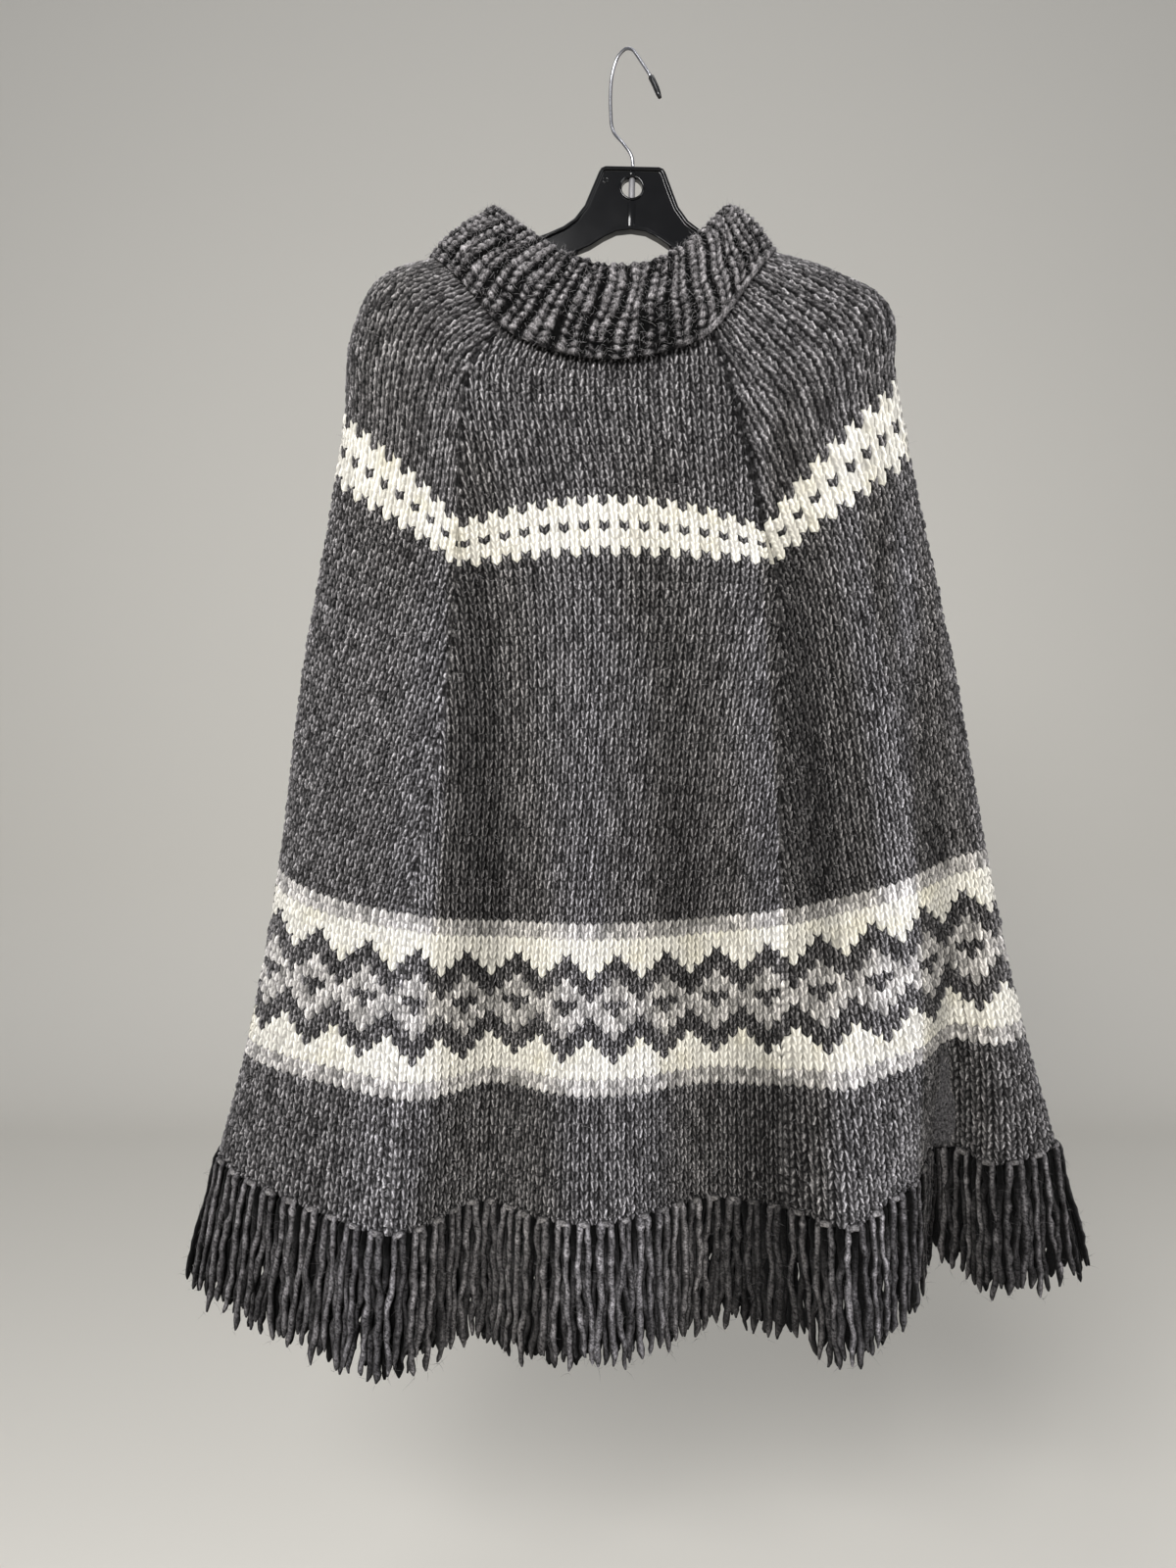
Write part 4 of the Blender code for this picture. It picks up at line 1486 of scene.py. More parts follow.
    def _ribs(self, rng: Rng, course: Array) -> Array:
        """Works out the stitches of the ribs.

        Args:
            rng: the source of chance.
            course: each point's course, counted down from the rim, [row][column].

        Returns:
            How far each point stands off the smooth wall.
        """
        steps = len(self.rib_heights)
        column = np.arange(course.shape[1])
        profile = np.array(self.rib_heights)[column % steps][None, :]
        bow = 1 - np.abs(2 * (column % steps) / steps - 1)
        leg = np.interp((course - self.slant * bow[None, :]) % 1, np.linspace(0, 1, len(self.leg) + 1),
                        [*self.leg, self.leg[0]])
        tall = rng.normal(0, self.leg_spread, (self.chance_rows, self.ribs * 2))
        tall = tall[self._chance_rows(course), column * 2 // steps]
        deep = self.valley * (1 + self.valley_spread * soft_field(rng, course.shape, cells=(20, self.ribs)))
        on_leg = np.clip((profile - self.leg_level) / self.leg_rise, 0, 1)
        purl = self.purl_height * np.maximum(0, np.sin(2 * math.pi * (course + self.purl_phase)))
        on_purl = np.clip(-profile * self.purl_slope - self.purl_level, 0, 1)
        uneven = self.swell * soft_field(rng, course.shape, cells=(7, 22))
        return profile * deep + on_leg * (leg + tall) + purl * on_purl + uneven

    def _heights(self, rng: Rng, course: Array, edge_row: int) -> Array:
        """Works out the ribs and the cord along the cuff's edge.

        Args:
            rng: the source of chance.
            course: each point's course, counted down from the rim, [row][column].
            edge_row: the row where the cuff's lower edge begins.

        Returns:
            How far each point stands off the smooth wall.
        """
        total, count = course.shape
        steps = len(self.rib_heights)
        height = self._ribs(rng, course)
        cord = self.cord
        off_edge = (np.arange(total) - edge_row)[:, None]
        zone = smooth_step(off_edge, *cord.zone)
        corded = zone * smooth_step(self.face[edge_row, :, 0], *cord.x_range)[None, :]
        links = (2 * ((np.arange(count) % steps) / steps)[None, :] + off_edge * cord.lean) % 1
        chain = cord.rise + cord.link_height * np.sin(math.pi * links) + (
            cord.unevenness * soft_field(rng, course.shape, cells=(7, 40)))
        groove = cord.groove_depth * bell(off_edge, cord.groove_row, cord.groove_breadth)
        height = height * (1 - cord.calm * zone - cord.flat * corded) + corded * (chain - groove)
        at = np.arange(total)
        shown = smooth_step(at, 0, self.fade_rows) * (1 - smooth_step(at, total - self.fade_rows, total - 1))
        return height * shown[:, None]

    def build(self) -> Piece:
        """Knits the collar.

        Returns:
            The collar, in place of its solid.
        """
        steps = len(self.rib_heights)
        count = self.ribs * steps
        faces = len(self.span_rows) + 1
        guides, carves = self._sections(count)
        self.face = self._face(guides[:faces])
        carve = self._face(carves[:faces])
        bare = guides[faces:]
        total = len(self.face)
        rng = np.random.default_rng(self.seed)

        sway = self.rib_sway * steps * soft_field(rng, (total, count), cells=(8, self.ribs))
        column = np.arange(count)[None, :] + sway
        left = np.floor(column).astype(int)
        part = (column - left)[..., None]
        rows = np.arange(total)[:, None]
        face = self.face[rows, left % count] * (1 - part) + self.face[rows, (left + 1) % count] * part
        lengths = np.linalg.norm(np.diff(self.face, axis=0), axis=-1)
        travelled = np.concatenate([np.zeros((1, count)), np.cumsum(lengths, axis=0)])
        rim_row, edge_row = sum(self.span_rows[:self.rim_span]), sum(self.span_rows[:self.edge_span])
        pitch = (travelled[edge_row] - travelled[rim_row]).mean() / self.cuff_courses
        course = (travelled - travelled[rim_row]) / pitch
        height = self._heights(rng, course, edge_row)
        dark = self.valley * self.dark_share
        under = smooth_step(np.arange(total) - edge_row, *self.under_rows)[:, None]
        openness = np.clip((height + dark) / (dark + 1.0), 0, 1) * (1 - self.under_dark * under)

        parts = MeshParts()
        around = np.broadcast_to(np.arange(count) / steps, (total, count))
        uv = np.stack([around, course], axis=-1)
        index = parts.add_points(face - carve * height[..., None], uv, openness)
        bare_rows = np.arange(len(bare))[:, None] + self.bare_course
        bare_uv = np.stack(np.broadcast_arrays(around[:1], bare_rows), axis=-1)
        ring = np.concatenate([index, parts.add_points(bare, bare_uv, self.bare_light), index[:1]])
        ring = np.concatenate([ring, ring[:, :1]], axis=1)
        chance = rng.uniform(0, 1, (self.chance_rows, self.ribs * 2))
        chance_rows = [self._chance_rows(course), np.full((len(bare), count), self.bare_chance)]
        chance = chance[np.concatenate(chance_rows), np.arange(count) * 2 // steps]
        parts.add_grid(ring, np.stack([0 * chance, 0 * chance, chance, 0 * chance + 1], axis=-1))
        made = parts.build("collar_knit", self.finish)
        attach(made, BODY)
        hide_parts("collar")
        return made


# ==== fringe
class StrandPlace(NamedTuple):
    """Where one strand lies in its tassel: how far aside, how far behind, where it starts
    down the tassel, and how much painted light it gets, less for the strands behind, which get painted shade."""

    aside: float
    behind: float
    start: float
    light: float


class Wave(NamedTuple):
    """One sideways wave down a strand: how far it reaches, and how far it turns, in radians."""

    reach: float
    turns: float


TASSEL = (
    StrandPlace(-0.25, 0.0, -3.5, 1.0),
    StrandPlace(0.25, 0.0, -3.5, 0.96),
    StrandPlace(0.0, 2.0, -1.0, 0.74),
    StrandPlace(0.49, 2.2, -1.0, 0.7),
    StrandPlace(-0.27, 5.7, -1.0, 0.12),
    StrandPlace(0.23, 5.7, -1.0, 0.12),
)
WAVES = (Wave(2.1, 6.0), Wave(1.2, 13.0), Wave(0.9, 31.0))
TAPER = ((0.0, 0.6), (0.02, 0.95), (0.06, 1.05), (0.14, 0.97), (0.8, 0.97), (0.93, 0.9),
         (0.97, 0.66), (1.0, 0.26))
BACKING_BREADTH = ((0.0, 1.3), (0.3, 2.2), (0.85, 2.0), (1.0, 1.2))
FRONT_LIGHT = ((0.0, 0.95), (0.08, 1.0))
HIDDEN_LIGHT = ((0.0, 0.0), (0.08, 0.1), (0.18, 0.5), (0.4, 1.0))


def profile(t: Array, table: Sequence[Pair]) -> Array:
    """Returns what a table of places and values, joined by straight lines, says at t."""
    return np.interp(t, *zip(*table))


@dataclass(frozen=True)
class Knot:
    """The loop of yarn across a tassel's top: it bows up and stands off in its middle."""

    reach: float = 5.0
    stations: int = 9
    tilt: float = 0.8
    rise: float = 1.4
    bow: float = 2.4
    stand: float = 1.1
    curl: float = 1.6
    radius: float = 2.7
    radius_range: Pair = (0.88, 1.12)
    taper: float = 0.75
    tip: float = 0.02
    flatness: float = 0.8
    light: float = 0.85
    front_light: float = 0.4
    low_light: float = 0.3
    end_dark: float = 0.4
    # a share of the light marl colour, mixed in as painted light that lightens the knot
    marl: float = 0.12
    chance_range: Pair = (0.3, 1.0)


@dataclass
class Fringe:
    """One side's row of tassels: yarn strands knotted through the hem stitches."""

    gore: Gore
    form: ClothForm
    finish: Finish
    knot: Knot = Knot()
    seed: int = 31
    tassels: int = 21
    sides: int = 7
    length: float = 107.0
    length_spread: float = 8.0
    hidden_shorter: float = 5.0
    width: float = 3.0
    depth: float = 2.5
    pitch: float = 7.0
    cloth_lean: float = 0.8
    tassel_lean: float = 1.5
    strand_lean: float = 1.6
    gather: float = -3.4
    stand: float = 1.7
    tuck: float = 2.4
    backing_from: float = 5.0
    twist: float = 1.3
    fold_share: float = 0.9
    edge_share: float = 0.004
    share_jitter: float = 0.0016
    size_range: Pair = (-0.16, 0.1)
    knob_range: Pair = (-0.27, 0.24)
    light_range: Pair = (0.72, 1.12)
    hidden_fade: float = 0.2
    front_fade: float = 0.14
    uv_offset: float = 50.0
    free_zone: Pair = (0.03, 0.35)
    gather_zone: Pair = (0.04, 0.35)
    tuck_zone: Pair = (-0.02, 0.06)
    pace_range: Pair = (0.8, 1.2)
    reach_range: Pair = (0.3, 1.0)
    phase: float = 6.0
    out_reach: Pair = (0.3, 1.2)
    out_turns: Pair = (4.0, 9.0)
    stations: tuple[float, ...] = (0.0, 0.02, 0.045, 0.08, 0.12, 0.17, 0.22, 0.275, 0.33, 0.385, 0.44, 0.495,
                                   0.55, 0.605, 0.66, 0.715, 0.77, 0.825, 0.88, 0.93, 0.97, 1.0)
    hair_station: int = 4
    centres: list[Array] = field(default_factory=list)

    def build(self) -> Piece:
        """Knots the side's fringe.

        Returns:
            The fringe, in place of its solid.
        """
        rng = random.Random(self.seed + self.gore.value)
        parts = MeshParts()
        for tassel in range(self.tassels):
            lean = rng.gauss(0, self.tassel_lean)
            for strand in TASSEL:
                self._add_strand(parts, rng, (tassel + 0.5 + strand.aside) / self.tassels, strand, lean)
            self._add_knot(parts, rng, (tassel + 0.5) / self.tassels)
        name = self.gore.name.lower()
        made = parts.build(f"{name}_fringe", self.finish)
        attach(made, BODY)
        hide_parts(f"fringe_{name}")
        return made

    @property
    def _turns(self) -> Array:
        """The angles round a strand, from its side towards its front."""
        return np.arange(self.sides) / self.sides * 2 * math.pi

    def _hem(self, share: float) -> tuple[Array, Array, Array, Array]:
        """Reads the hem.

        Args:
            share: the fraction of the gore.

        Returns:
            The hem's place there, and its outward, falling and sideways directions.
        """
        out = self.form.outward(self.gore, HEM_ROW, share)
        fall = self.form.down(self.gore, HEM_ROW, share)
        return self.form.place(self.gore, HEM_ROW, share), out, fall, unit(np.cross(out, fall))

    def _path(self, rng: random.Random, share: float, strand: StrandPlace, lean: float) -> Array:
        """Hangs one strand.

        Args:
            rng: the side's own chance.
            share: where it leaves the hem, as a fraction of the gore.
            strand: its place in its tassel.
            lean: the tassel's own lean to one side.

        Returns:
            Its centre line and the two directions across it, [3][station][3].
        """
        top, out, fall, run = self._hem(share)
        hang = unit(fall * self.cloth_lean + np.array((0, 0, -1)) * (1 - self.cloth_lean))
        length = self.length + rng.uniform(-1, 1) * self.length_spread
        length = length - self.hidden_shorter * (strand.behind > 0)
        t = np.array(self.stations)
        free = smooth_step(t, *self.free_zone)
        gathered = strand.aside * self.gather * (1 - smooth_step(t, *self.gather_zone))
        spread = (lean + rng.gauss(0, self.strand_lean)) * t**1.5 + gathered * (strand.behind == 0)
        for wave in WAVES:
            turned = t * wave.turns * rng.uniform(*self.pace_range) + rng.uniform(0, self.phase)
            spread = spread + wave.reach * rng.uniform(*self.reach_range) * np.sin(turned) * free
        reach_out = rng.uniform(*self.out_reach)
        wave_out = reach_out * np.sin(t * rng.uniform(*self.out_turns) + rng.uniform(0, self.phase)) * free
        lift = self.stand - strand.behind - self.tuck * (1 - smooth_step(t, *self.tuck_zone)) + wave_out
        path = top + hang * (t * length + strand.start)[:, None] + run * spread[:, None] + out * lift[:, None]
        return np.stack([path, np.broadcast_to(run, path.shape), np.broadcast_to(out, path.shape)])

    def _uv(self, run: Array, twist: float, offset: float) -> Array:
        """Works out texture places on a rope.

        Args:
            run: how far down it each station lies.
            twist: how many of its turns the yarn makes a pitch.
            offset: where it starts round the texture.

        Returns:
            The places, [station][side][2].
        """
        down, around = np.meshgrid(run / self.pitch, self._turns / math.pi, indexing="ij")
        return np.stack([around + twist * down + offset, down], axis=-1)

    def _add_rope(self, parts: MeshParts, path: Array, run: Array, out: Array,
                  openness: Array, uv: Array, facts: Point) -> None:
        """Adds one closed length of yarn.

        Args:
            parts: the mesh under way.
            path: its centre line.
            run: half its width, sideways, at each station.
            out: half its depth, outwards, at each station.
            openness: how open each point lies to the light, [station][side].
            uv: texture places in the same layout.
            facts: the shade of the folds there, the yarn's own chance, and its share of marl.
        """
        turns = self._turns[None, :, None]
        points = path[:, None, :] + np.cos(turns) * run[:, None, :] + np.sin(turns) * out[:, None, :]
        index = parts.add_points(points, uv, openness, facts[0])
        colour = np.array([0, facts[2], facts[1], 1])
        parts.add_grid(np.concatenate([index, index[:, :1]], axis=1)[:, ::-1], colour)
        parts.add_faces(index[0][None, :], colour)
        parts.add_faces(index[-1][None, ::-1], colour)

    def _add_strand(self, parts: MeshParts, rng: random.Random, share: float, strand: StrandPlace,
                    lean: float) -> None:
        """Adds one soft strand that leaves its knot and hangs.

        Args:
            parts: the mesh under way.
            rng: the side's own chance.
            share: where it leaves the hem, as a fraction of the gore.
            strand: its place in its tassel.
            lean: the tassel's own lean to one side.
        """
        share = min(max(share + rng.gauss(0, self.share_jitter), self.edge_share), 1 - self.edge_share)
        path, run, out = self._path(rng, share, strand, lean)
        t = np.array(self.stations)
        hidden, backing = strand.behind > 0, strand.behind > self.backing_from
        size = profile(t, TAPER) * (1 + rng.uniform(*self.size_range))
        size = (size * np.array([1 + rng.uniform(*self.knob_range) for _ in t]))[:, None]
        uv = self._uv(t * self.length, self.twist, rng.uniform(0, self.uv_offset))
        breadth = profile(t, BACKING_BREADTH)[:, None] if backing else 1.0
        light = profile(t, HIDDEN_LIGHT if hidden else FRONT_LIGHT)
        light = light * (1 - (self.hidden_fade if hidden else self.front_fade) * t)
        light = light * np.array([rng.uniform(*self.light_range) for _ in t])
        facing = np.clip(0.5 + 0.5 * np.sin(self._turns), 0, 1) ** 2
        openness = facing[None, :] * light[:, None] * strand.light
        if not hidden:
            self.centres.append(np.concatenate([path, out], axis=1)[self.hair_station:])
        shade = float(self.form.shade(self.gore, HEM_ROW, share)) ** self.fold_share
        self._add_rope(parts, path, run * self.width * size * breadth, out * self.depth * size, openness, uv,
                       (shade, rng.uniform(0, 1), 0.0))

    def _add_knot(self, parts: MeshParts, rng: random.Random, share: float) -> None:
        """Adds the loop of yarn that lies across a tassel's top.

        Args:
            parts: the mesh under way.
            rng: the side's own chance.
            share: where its middle lies, as a fraction of the gore.
        """
        knot = self.knot
        top, out, fall, run = self._hem(share)
        t = np.linspace(-1, 1, knot.stations)
        sag = rng.uniform(-knot.tilt, knot.tilt) * t + knot.bow * t * t - knot.rise
        lift = knot.stand - knot.curl * t * t
        path = top + run * (knot.reach * t)[:, None] + fall * sag[:, None] + out * lift[:, None]
        size = knot.radius * rng.uniform(*knot.radius_range) * np.sqrt(1 + knot.tip - t**4 * knot.taper)
        size = size[:, None]
        uv = self._uv(t * knot.reach, 0.0, rng.uniform(0, self.uv_offset))
        turns = self._turns
        facing = 1 - knot.low_light * (1 + np.cos(turns)) + knot.front_light * np.sin(turns)
        openness = knot.light * np.clip(facing, 0, 1)[None, :] * (1 - knot.end_dark * t**6)[:, None]
        shade = float(self.form.shade(self.gore, HEM_ROW, share))
        self._add_rope(parts, path, -fall * size, out * size * knot.flatness, openness, uv,
                       (shade, rng.uniform(*knot.chance_range), knot.marl))


# ==== fine hair
@dataclass
class StrayHairs:
    """Fine fibres that stand off the wool and soften its edges."""

    form: ClothForm
    collar: Collar
    fringes: Sequence[Fringe]
    finish: Finish
    seed: int = 77
    body_hairs: int = 6000
    collar_hairs: int = 6000
    fringe_hairs: int = 5000
    body_stand: float = 0.6
    collar_stand: float = 0.9
    fringe_stand: float = 0.4
    light: float = 0.9
    fringe_light: float = 0.6
    shade: float = 0.9
    collar_rows: tuple[int, int] = (16, 8)
    radius: float = 0.1
    waist: float = 0.8
    length: Pair = (3.5, 9.0)
    curl: float = 0.45
    lie: float = 0.25
    droop: float = 0.15
    angles: Point = (0.0, 2.094, 4.189)

    def build(self) -> Piece:
        """Grows all the fibres.

        Returns:
            One piece that goes with the front of the body.
        """
        rng = np.random.default_rng(self.seed)
        parts = MeshParts()
        for gore in Gore:
            count = self.body_hairs // len(Gore)
            row, share = rng.uniform(1, HEM_ROW, count), rng.uniform(0.01, 0.99, count)
            roots, outward = self.form.place(gore, row, share), self.form.outward(gore, row, share)
            self._add(parts, rng, roots, outward, self.body_stand, self.light)
        face = self.collar.face
        normals = unit(np.cross(unit(np.gradient(face, axis=0)), unit(chord(face))))
        r = rng.integers(self.collar_rows[0], len(face) - self.collar_rows[1], self.collar_hairs)
        c = rng.integers(0, face.shape[1], self.collar_hairs)
        self._add(parts, rng, face[r, c], normals[r, c], self.collar_stand, self.light)
        strands = np.concatenate([line for fringe in self.fringes for line in fringe.centres])
        centre, outward = np.split(strands[rng.integers(0, len(strands), self.fringe_hairs)], 2, axis=1)
        roots = centre + outward * self.fringes[0].depth
        self._add(parts, rng, roots, outward, self.fringe_stand, self.fringe_light)
        made = parts.build("stray_hairs", self.finish)
        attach(made, BODY)
        return made

    def _add(self, parts: MeshParts, rng: Rng, roots: Array, outward: Array,
             stand: float, openness: float) -> None:
        """Adds bent three-sided fibres.

        Args:
            parts: the mesh under way.
            rng: the source of chance.
            roots: where they leave the wool.
            outward: which way the wool faces there.
            stand: how strongly they stand up off it.
            openness: how open they lie to the light.
        """
        count = len(roots)
        lean = unit(unit(rng.normal(0, 1, (count, 3))) + outward * stand)
        curl = unit(rng.normal(0, 1, (count, 3)))
        length = rng.uniform(*self.length, count)[:, None]
        bend = curl * self.curl - outward * self.lie + np.array((0, 0, -self.droop))
        side = unit(np.cross(lean, curl))
        other = unit(np.cross(lean, side))
        rings = []
        for t, size in ((0.0, 1.0), (0.5, self.waist)):
            place = roots + length * (lean * t + bend * t * t)
            spokes = [(side * math.cos(a) + other * math.sin(a)) * self.radius * size for a in self.angles]
            rings.append(np.stack([place + spoke for spoke in spokes], axis=1))
        tip = (roots + length * (lean + bend))[:, None, :]
        points = np.concatenate([*rings, tip], axis=1)
        index = parts.add_points(points, np.zeros((*points.shape[:-1], 2)), openness)
        shade = (0.0, 0.0, self.shade, 1.0)
        for k in range(3):
            after = (k + 1) % 3
            parts.add_faces(index[:, [k, after, 3 + after, 3 + k]], shade)
            parts.add_faces(index[:, [3 + k, 3 + after, 6]], shade)
        parts.add_faces(index[:, [2, 1, 0]], shade)


# ==== hanger
SHARP_ANGLE = math.radians(50)


def select_only(made: Piece) -> None:
    """Makes one object the only selected and the active one."""
    bpy.ops.object.select_all(action="DESELECT")
    made.select_set(True)
    bpy.context.view_layer.objects.active = made


def apply_place(made: Piece) -> None:
    """Moves an object's place, turn and size into its mesh."""
    select_only(made)
    bpy.ops.object.transform_apply(location=True, rotation=True, scale=True)


def soften(made: Piece, width: float, segments: int, angle: float = 0.0) -> None:
    """Rounds an object's edges.

    Args:
        made: the object.
        width: how wide the rounding is, in millimetres.
        segments: how many faces it has across.
        angle: only edges sharper than this, in degrees, are rounded, and flat faces stay flat.
    """
    bevel = made.modifiers.new("bevel", "BEVEL")
    bevel.width = width * MM
    bevel.segments = segments
    if angle:
        bevel.limit_method = "ANGLE"
        bevel.angle_limit = math.radians(angle)
        made.modifiers.new("even faces", "WEIGHTED_NORMAL").weight = 100
    select_only(made)
    for modifier in list(made.modifiers):
        bpy.ops.object.modifier_apply(modifier=modifier.name)


def copy_of_node(node: Piece, name: str, flat_angle: float = 0.0) -> Piece:
    """Copies a frame node with its doubled points merged and its flat faces whole.

    Args:
        node: the frame's object.
        name: the copy's name.
        flat_angle: faces that meet under this angle, in degrees, become one.

    Returns:
        The copy, with no material.
    """
    mesh = node.data.copy()
    mesh.name = name
    mesh.materials.clear()
    shape = bmesh.new()
    shape.from_mesh(mesh)
    bmesh.ops.remove_doubles(shape, verts=shape.verts, dist=1e-5)
    if flat_angle:
        bmesh.ops.dissolve_limit(shape, angle_limit=math.radians(flat_angle), verts=shape.verts,
                                 edges=shape.edges)
    bmesh.ops.recalc_face_normals(shape, faces=shape.faces)
    shape.to_mesh(mesh)
    shape.free()
    made = bpy.data.objects.new(name, mesh)
    bpy.context.scene.collection.objects.link(made)
    return made


@dataclass
class Hanger:
    """The black plastic hanger: rimmed plate, window bezel, ribs and swivel stem."""

    node: Piece
    plastic: Finish
    nickel: Finish
    centre_x: float = 6.6
    tilt: float = math.radians(1.2)
    half_thickness: float = 5.0
    recess: float = 2.0
    bevel: float = 1.1
    flat_angle: float = 4.0
    bevel_angle: float = 40.0
    window: Pair = (0.0, -115.2)
    bezel: Pair = (9.5, 1.1)
    gate: Pair = (-22.0, -109.5)
    gate_ring: Pair = (2.1, 0.6)
    rib_depth: float = 2.6
    stem_radius: float = 2.6
    stem_height: float = 18.5
    stem_bevel: float = 0.8

    def place(self, across: float, height: float, out: float) -> Point:
        """Turns a point of the hanger's own plane into the row frame.

        Args:
            across: its place across the hanger.
            height: its height.
            out: how far in front of the plane it lies.

        Returns:
            The point, in metres.
        """
        x = self.centre_x + across * math.cos(self.tilt) + height * math.sin(self.tilt)
        z = -across * math.sin(self.tilt) + height * math.cos(self.tilt)
        return x * MM, -out * MM, z * MM

    def plate(self) -> Piece:
        """Makes the rimmed plate with softened edges.

        Returns:
            The plate.
        """
        made = copy_of_node(self.node, "hanger_plate", self.flat_angle)
        made.data.materials.append(self.plastic)
        made.data.shade_smooth()
        soften(made, self.bevel, 2, self.bevel_angle)
        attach(made, BODY)
        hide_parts("hanger_body")
        return made

    def ring(self, name: str, at: Pair, side: int, size: Pair, segments: tuple[int, int]) -> Piece:
        """Makes a moulded ring on the recessed face.

        Args:
            name: the piece's name.
            at: its place across and its height.
            side: 1 for the front and -1 for the back.
            size: the ring's radius and the radius of its round section.
            segments: how many faces go round the ring and round its section.

        Returns:
            The ring.
        """
        bpy.ops.mesh.primitive_torus_add(
            major_radius=size[0] * MM, minor_radius=size[1] * MM,
            major_segments=segments[0], minor_segments=segments[1],
            location=self.place(*at, (self.half_thickness - self.recess) * side),
            rotation=(math.pi / 2, self.tilt, 0))
        return self._finish_piece(bpy.context.active_object, name, self.plastic)

    def rib(self, name: str, across: float, high: float, low: float, width: float) -> Piece:
        """Makes an upright rounded rib on the recessed face.

        Args:
            name: the piece's name.
            across: its place across the hanger.
            high: the height of its top.
            low: the height of its foot.
            width: how wide it is.

        Returns:
            The rib.
        """
        face = self.half_thickness - self.recess
        bpy.ops.mesh.primitive_cube_add(size=1, location=self.place(across, (high + low) / 2, face))
        made = bpy.context.active_object
        made.rotation_euler = (0, self.tilt, 0)
        made.scale = (width * MM, self.rib_depth * MM, (high - low) * MM)
        apply_place(made)
        soften(made, self.bevel, 4)
        return self._finish_piece(made, name, self.plastic)

    def stem(self) -> Piece:
        """Makes the turned foot of the hook that shows in the window.

        Returns:
            The stem.
        """
        bpy.ops.mesh.primitive_cylinder_add(
            vertices=32, radius=self.stem_radius * MM, depth=self.stem_height * MM,
            location=self.place(*self.window, 0.0), rotation=(0, self.tilt, 0))
        made = bpy.context.active_object
        apply_place(made)
        bpy.ops.object.mode_set(mode="EDIT")
        bpy.ops.mesh.select_all(action="SELECT")
        bpy.ops.mesh.bevel(offset=self.stem_bevel * MM, segments=3, affect="EDGES")
        bpy.ops.object.mode_set(mode="OBJECT")
        return self._finish_piece(made, "swivel_stem", self.nickel)

    def _finish_piece(self, made: Piece, name: str, finish: Finish) -> Piece:
        """Names a hard piece, gives it its finish and puts it on the frame.

        Args:
            made: the piece.
            name: its name.
            finish: its material.

        Returns:
            The piece.
        """
        apply_place(made)
        made.name = name
        made.data.name = name
        made.data.materials.clear()
        made.data.materials.append(finish)
        made.data.shade_smooth()
        made.data.set_sharp_from_angle(angle=SHARP_ANGLE)
        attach(made, BODY)
        return made

    def build(self) -> list[Piece]:
        """Makes every piece of the hanger but its hook.

        Returns:
            The pieces.
        """
        return [
            self.plate(),
            self.ring("window_bezel_front", self.window, 1, self.bezel, (64, 12)),
            self.ring("window_bezel_back", self.window, -1, self.bezel, (64, 12)),
            self.stem(),
            self.ring("gate_ring", self.gate, 1, self.gate_ring, (32, 8)),
            self.rib("rib_low", 0.0, -126.0, -148.0, 6.0),
            self.rib("rib_high", 0.0, -101.5, -105.5, 5.0),
        ]


@dataclass
class Hook:
    """The swivel hook's wire and its rubber tip, smoothed copies of their solids."""

    wire: Piece
    tip: Piece
    steel: Finish
    rubber: Finish

    def build(self) -> list[Piece]:
        """Makes both pieces.

        Returns:
            The wire and the tip.
        """
        made = []
        for node, name, finish, slot in (
            (self.wire, "hook_wire", self.steel, "hook_steel"),
            (self.tip, "hook_tip", self.rubber, "tip_rubber"),
        ):
            piece = copy_of_node(node, f"{name}_smooth")
            piece.data.materials.append(finish)
            piece.data.shade_smooth()
            piece.data.set_sharp_from_angle(angle=SHARP_ANGLE)
            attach(piece, BODY)
            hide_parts(name)
            made.append(piece)
        return made


# ==== studio
@dataclass(frozen=True)
class AreaLight:
    """A soft rectangular light that looks at a point."""

    name: str
    place: Point
    target: Point
    size: Pair
    power: float
    colour: Colour = WHITE

    def build(self) -> Piece:
        """Makes the light.

        Returns:
            The light.
        """
        data = bpy.data.lights.new(self.name, "AREA")
        data.shape = "RECTANGLE"
        data.size, data.size_y = self.size
        data.energy = self.power
        data.color = self.colour
        made = bpy.data.objects.new(self.name, data)
        made.location = self.place
        made.rotation_euler = (Vector(self.target) - Vector(self.place)).to_track_quat("-Z", "Y").to_euler()
        bpy.context.scene.collection.objects.link(made)
        return made


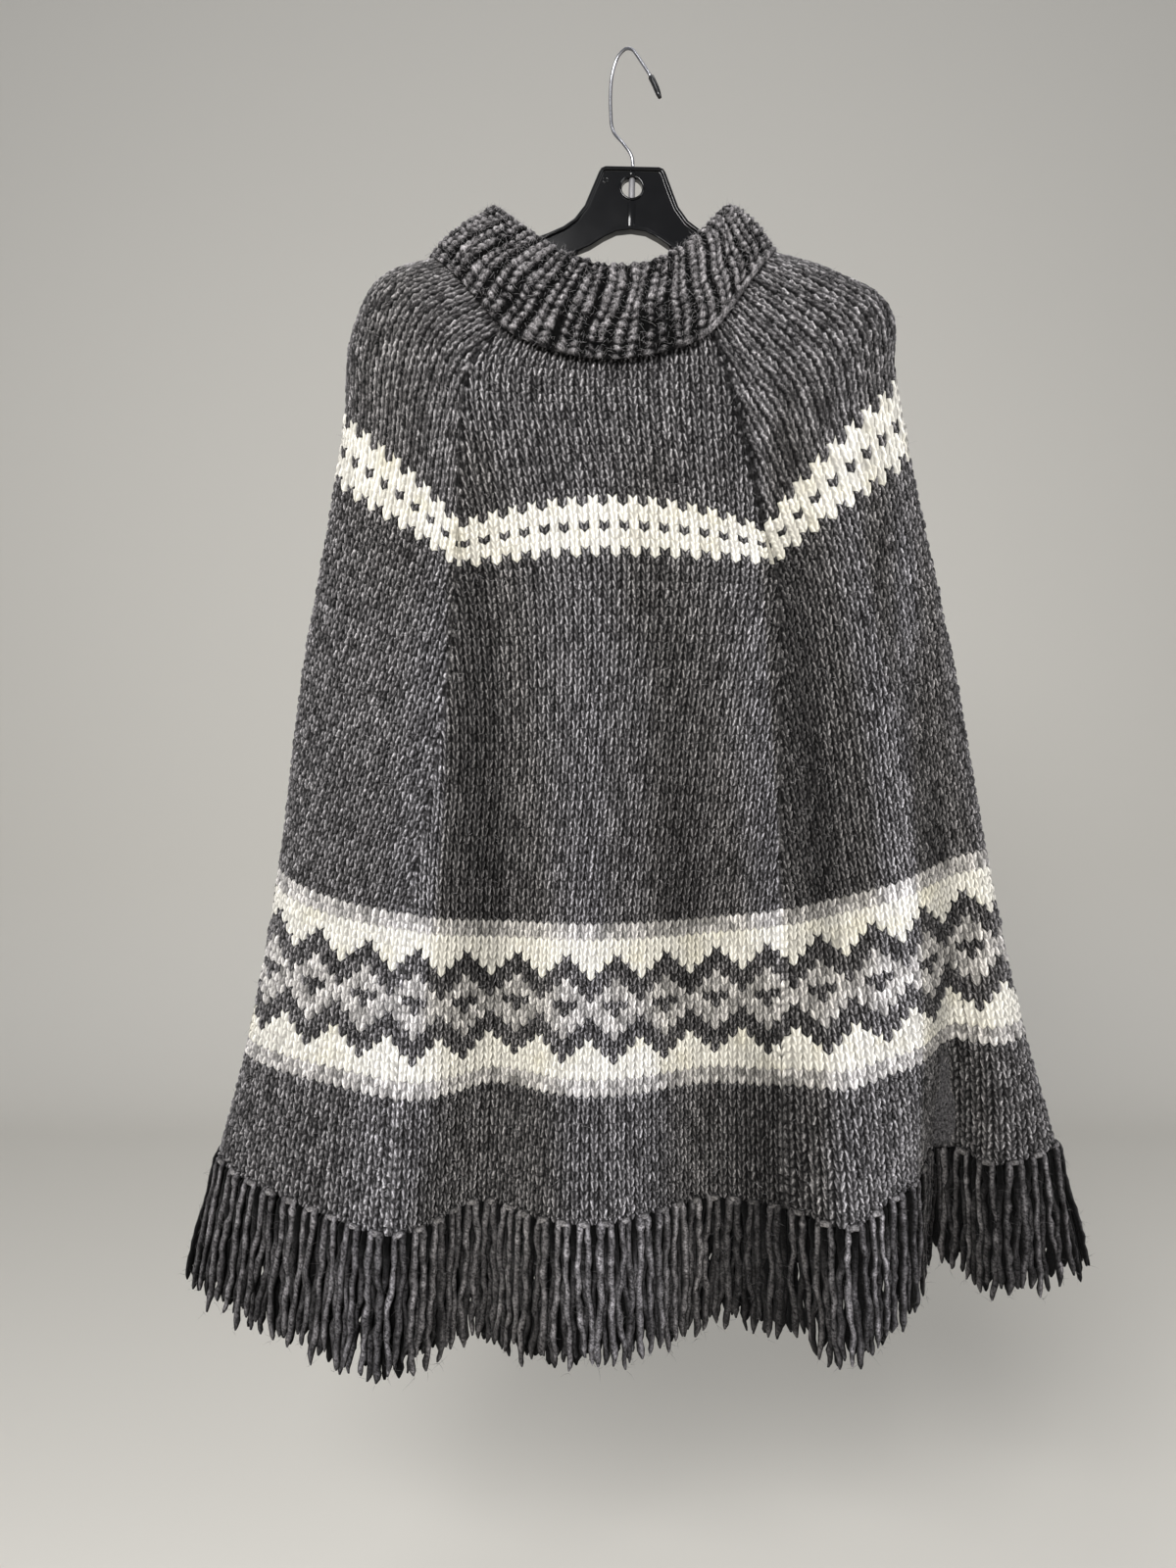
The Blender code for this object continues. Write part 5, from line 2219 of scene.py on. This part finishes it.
@dataclass
class Studio:
    """A pale sweep, soft light from the upper left, and the camera."""

    paint: Finish
    floor_z: float = -1.45
    wall_y: float = 2.4
    wall_z: float = 3.5
    bend: float = 0.6
    bend_points: int = 17
    half_width: float = 5.0
    near_y: float = -4.0
    camera_place: Point = (-0.032, -0.935, -0.606)
    lens: float = 26.0
    sensor: float = 36.0
    sky: Colour = (0.86, 0.88, 0.92)
    sky_strength: float = 0.38
    lights: tuple[AreaLight, ...] = (
        AreaLight("key", (-0.55, -1.95, 0.3), (0.0, 0.0, -0.5), (0.8, 0.8), 66.0, (1.0, 0.99, 0.98)),
        AreaLight("glint", (-0.7, -1.1, 1.4), (0.0, 0.0, -0.2), (0.5, 0.5), 9.0),
        AreaLight("fill", (1.7, -1.5, -0.1), (0.0, 0.0, -0.6), (1.2, 1.2), 16.0, (0.98, 0.98, 1.0)),
        AreaLight("top", (0.2, 0.3, 1.3), (0.0, 0.0, -0.4), (1.2, 0.8), 4.0),
    )

    def sweep(self) -> Piece:
        """Makes the floor that curves up into the back wall.

        Returns:
            The sweep.
        """
        y, z = self.wall_y - self.bend, self.floor_z + self.bend
        turns = np.linspace(0, math.pi / 2, self.bend_points)
        outline = [(self.near_y, self.floor_z)]
        outline += [(y + self.bend * math.sin(turn), z - self.bend * math.cos(turn)) for turn in turns]
        outline.append((self.wall_y, self.wall_z))
        points = [(x, y, z) for x in (-self.half_width, self.half_width) for y, z in outline]
        count = len(outline)
        faces = [(k, k + count, k + count + 1, k + 1) for k in range(count - 1)]
        mesh = bpy.data.meshes.new("sweep")
        mesh.from_pydata(points, [], faces)
        mesh.materials.append(self.paint)
        mesh.shade_smooth()
        made = bpy.data.objects.new("sweep", mesh)
        bpy.context.scene.collection.objects.link(made)
        return made

    def build(self) -> None:
        """Adds the sweep, the world, the lights and the camera."""
        self.sweep()
        for light in self.lights:
            light.build()
        world = bpy.data.worlds.new("studio")
        world.use_nodes = True
        background = world.node_tree.nodes["Background"]
        background.inputs["Color"].default_value = (*self.sky, 1.0)
        background.inputs["Strength"].default_value = self.sky_strength
        scene = bpy.context.scene
        scene.world = world
        scene.view_settings.view_transform = "Standard"
        camera = bpy.data.cameras.new("camera")
        camera.lens = self.lens
        camera.sensor_width = self.sensor
        camera.sensor_fit = "VERTICAL" if scene.render.resolution_y > scene.render.resolution_x else "AUTO"
        made = bpy.data.objects.new("camera", camera)
        made.location = self.camera_place
        made.rotation_euler = (math.pi / 2, 0, 0)
        scene.collection.objects.link(made)
        scene.camera = made


def main() -> None:
    """Builds every piece in order."""
    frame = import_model()
    nodes = frame["nodes"]

    body_wool = WoolFinish("heather wool", srgb(26, 25, 26), srgb(198, 195, 199)).build()
    collar_wool = WoolFinish("ribbed heather wool", srgb(22, 21, 22), srgb(154, 151, 154),
                             floor=ByYarn(0.01, 0.27, 0.16), fibre=(15.0, 2.4, 1.0)).build()
    yarn = WoolFinish("fringe yarn", srgb(15, 14, 15), srgb(158, 155, 159),
                      floor=ByYarn(0.005, 0.27, 0.16), fibre=(8.0, 1.6, 1.0), speckle=0.6, relief=2.2).build()
    plastic = HardFinish("black gloss plastic", srgb(5, 5, 6), 0.12, relief=0.004, specular=0.35).build()
    steel = HardFinish("bright steel wire", srgb(142, 142, 146), 0.28, metallic=1.0).build()
    nickel = HardFinish("dull nickel", srgb(104, 103, 105), 0.45, metallic=0.3).build()
    rubber = HardFinish("black rubber", srgb(9, 9, 10), 0.3).build()
    paint = PlainFinish("pale studio paint", srgb(214, 211, 204)).build()

    form = ClothForm()
    LOG.info("form measured")
    gores = [KnittedGore(gore, form, body_wool) for gore in Gore]
    knits = [gore.build() for gore in gores]
    LOG.info("gores knitted")
    fringes = [Fringe(gore, form, yarn) for gore in Gore]
    strips = [fringe.build() for fringe in fringes]
    LOG.info("fringe knotted")
    for gore, knit, strip in zip(gores, knits, strips):
        gore.declare(knit, [strip])
    collar = Collar(form, collar_wool)
    collar.build()
    LOG.info("collar knitted")
    StrayHairs(form, collar, fringes, body_wool).build()
    LOG.info("stray hairs added")
    Hanger(nodes["hanger_body"], plastic, nickel).build()
    Hook(nodes["hook_wire"], nodes["hook_tip"], steel, rubber).build()
    LOG.info("hanger and hook built")
    Studio(paint).build()
    for made in bpy.data.objects:
        if made.type == "MESH" and not made.hide_render:
            LOG.info("%s: %d faces", made.name, len(made.data.polygons))


if __name__ == "__main__":
    main()
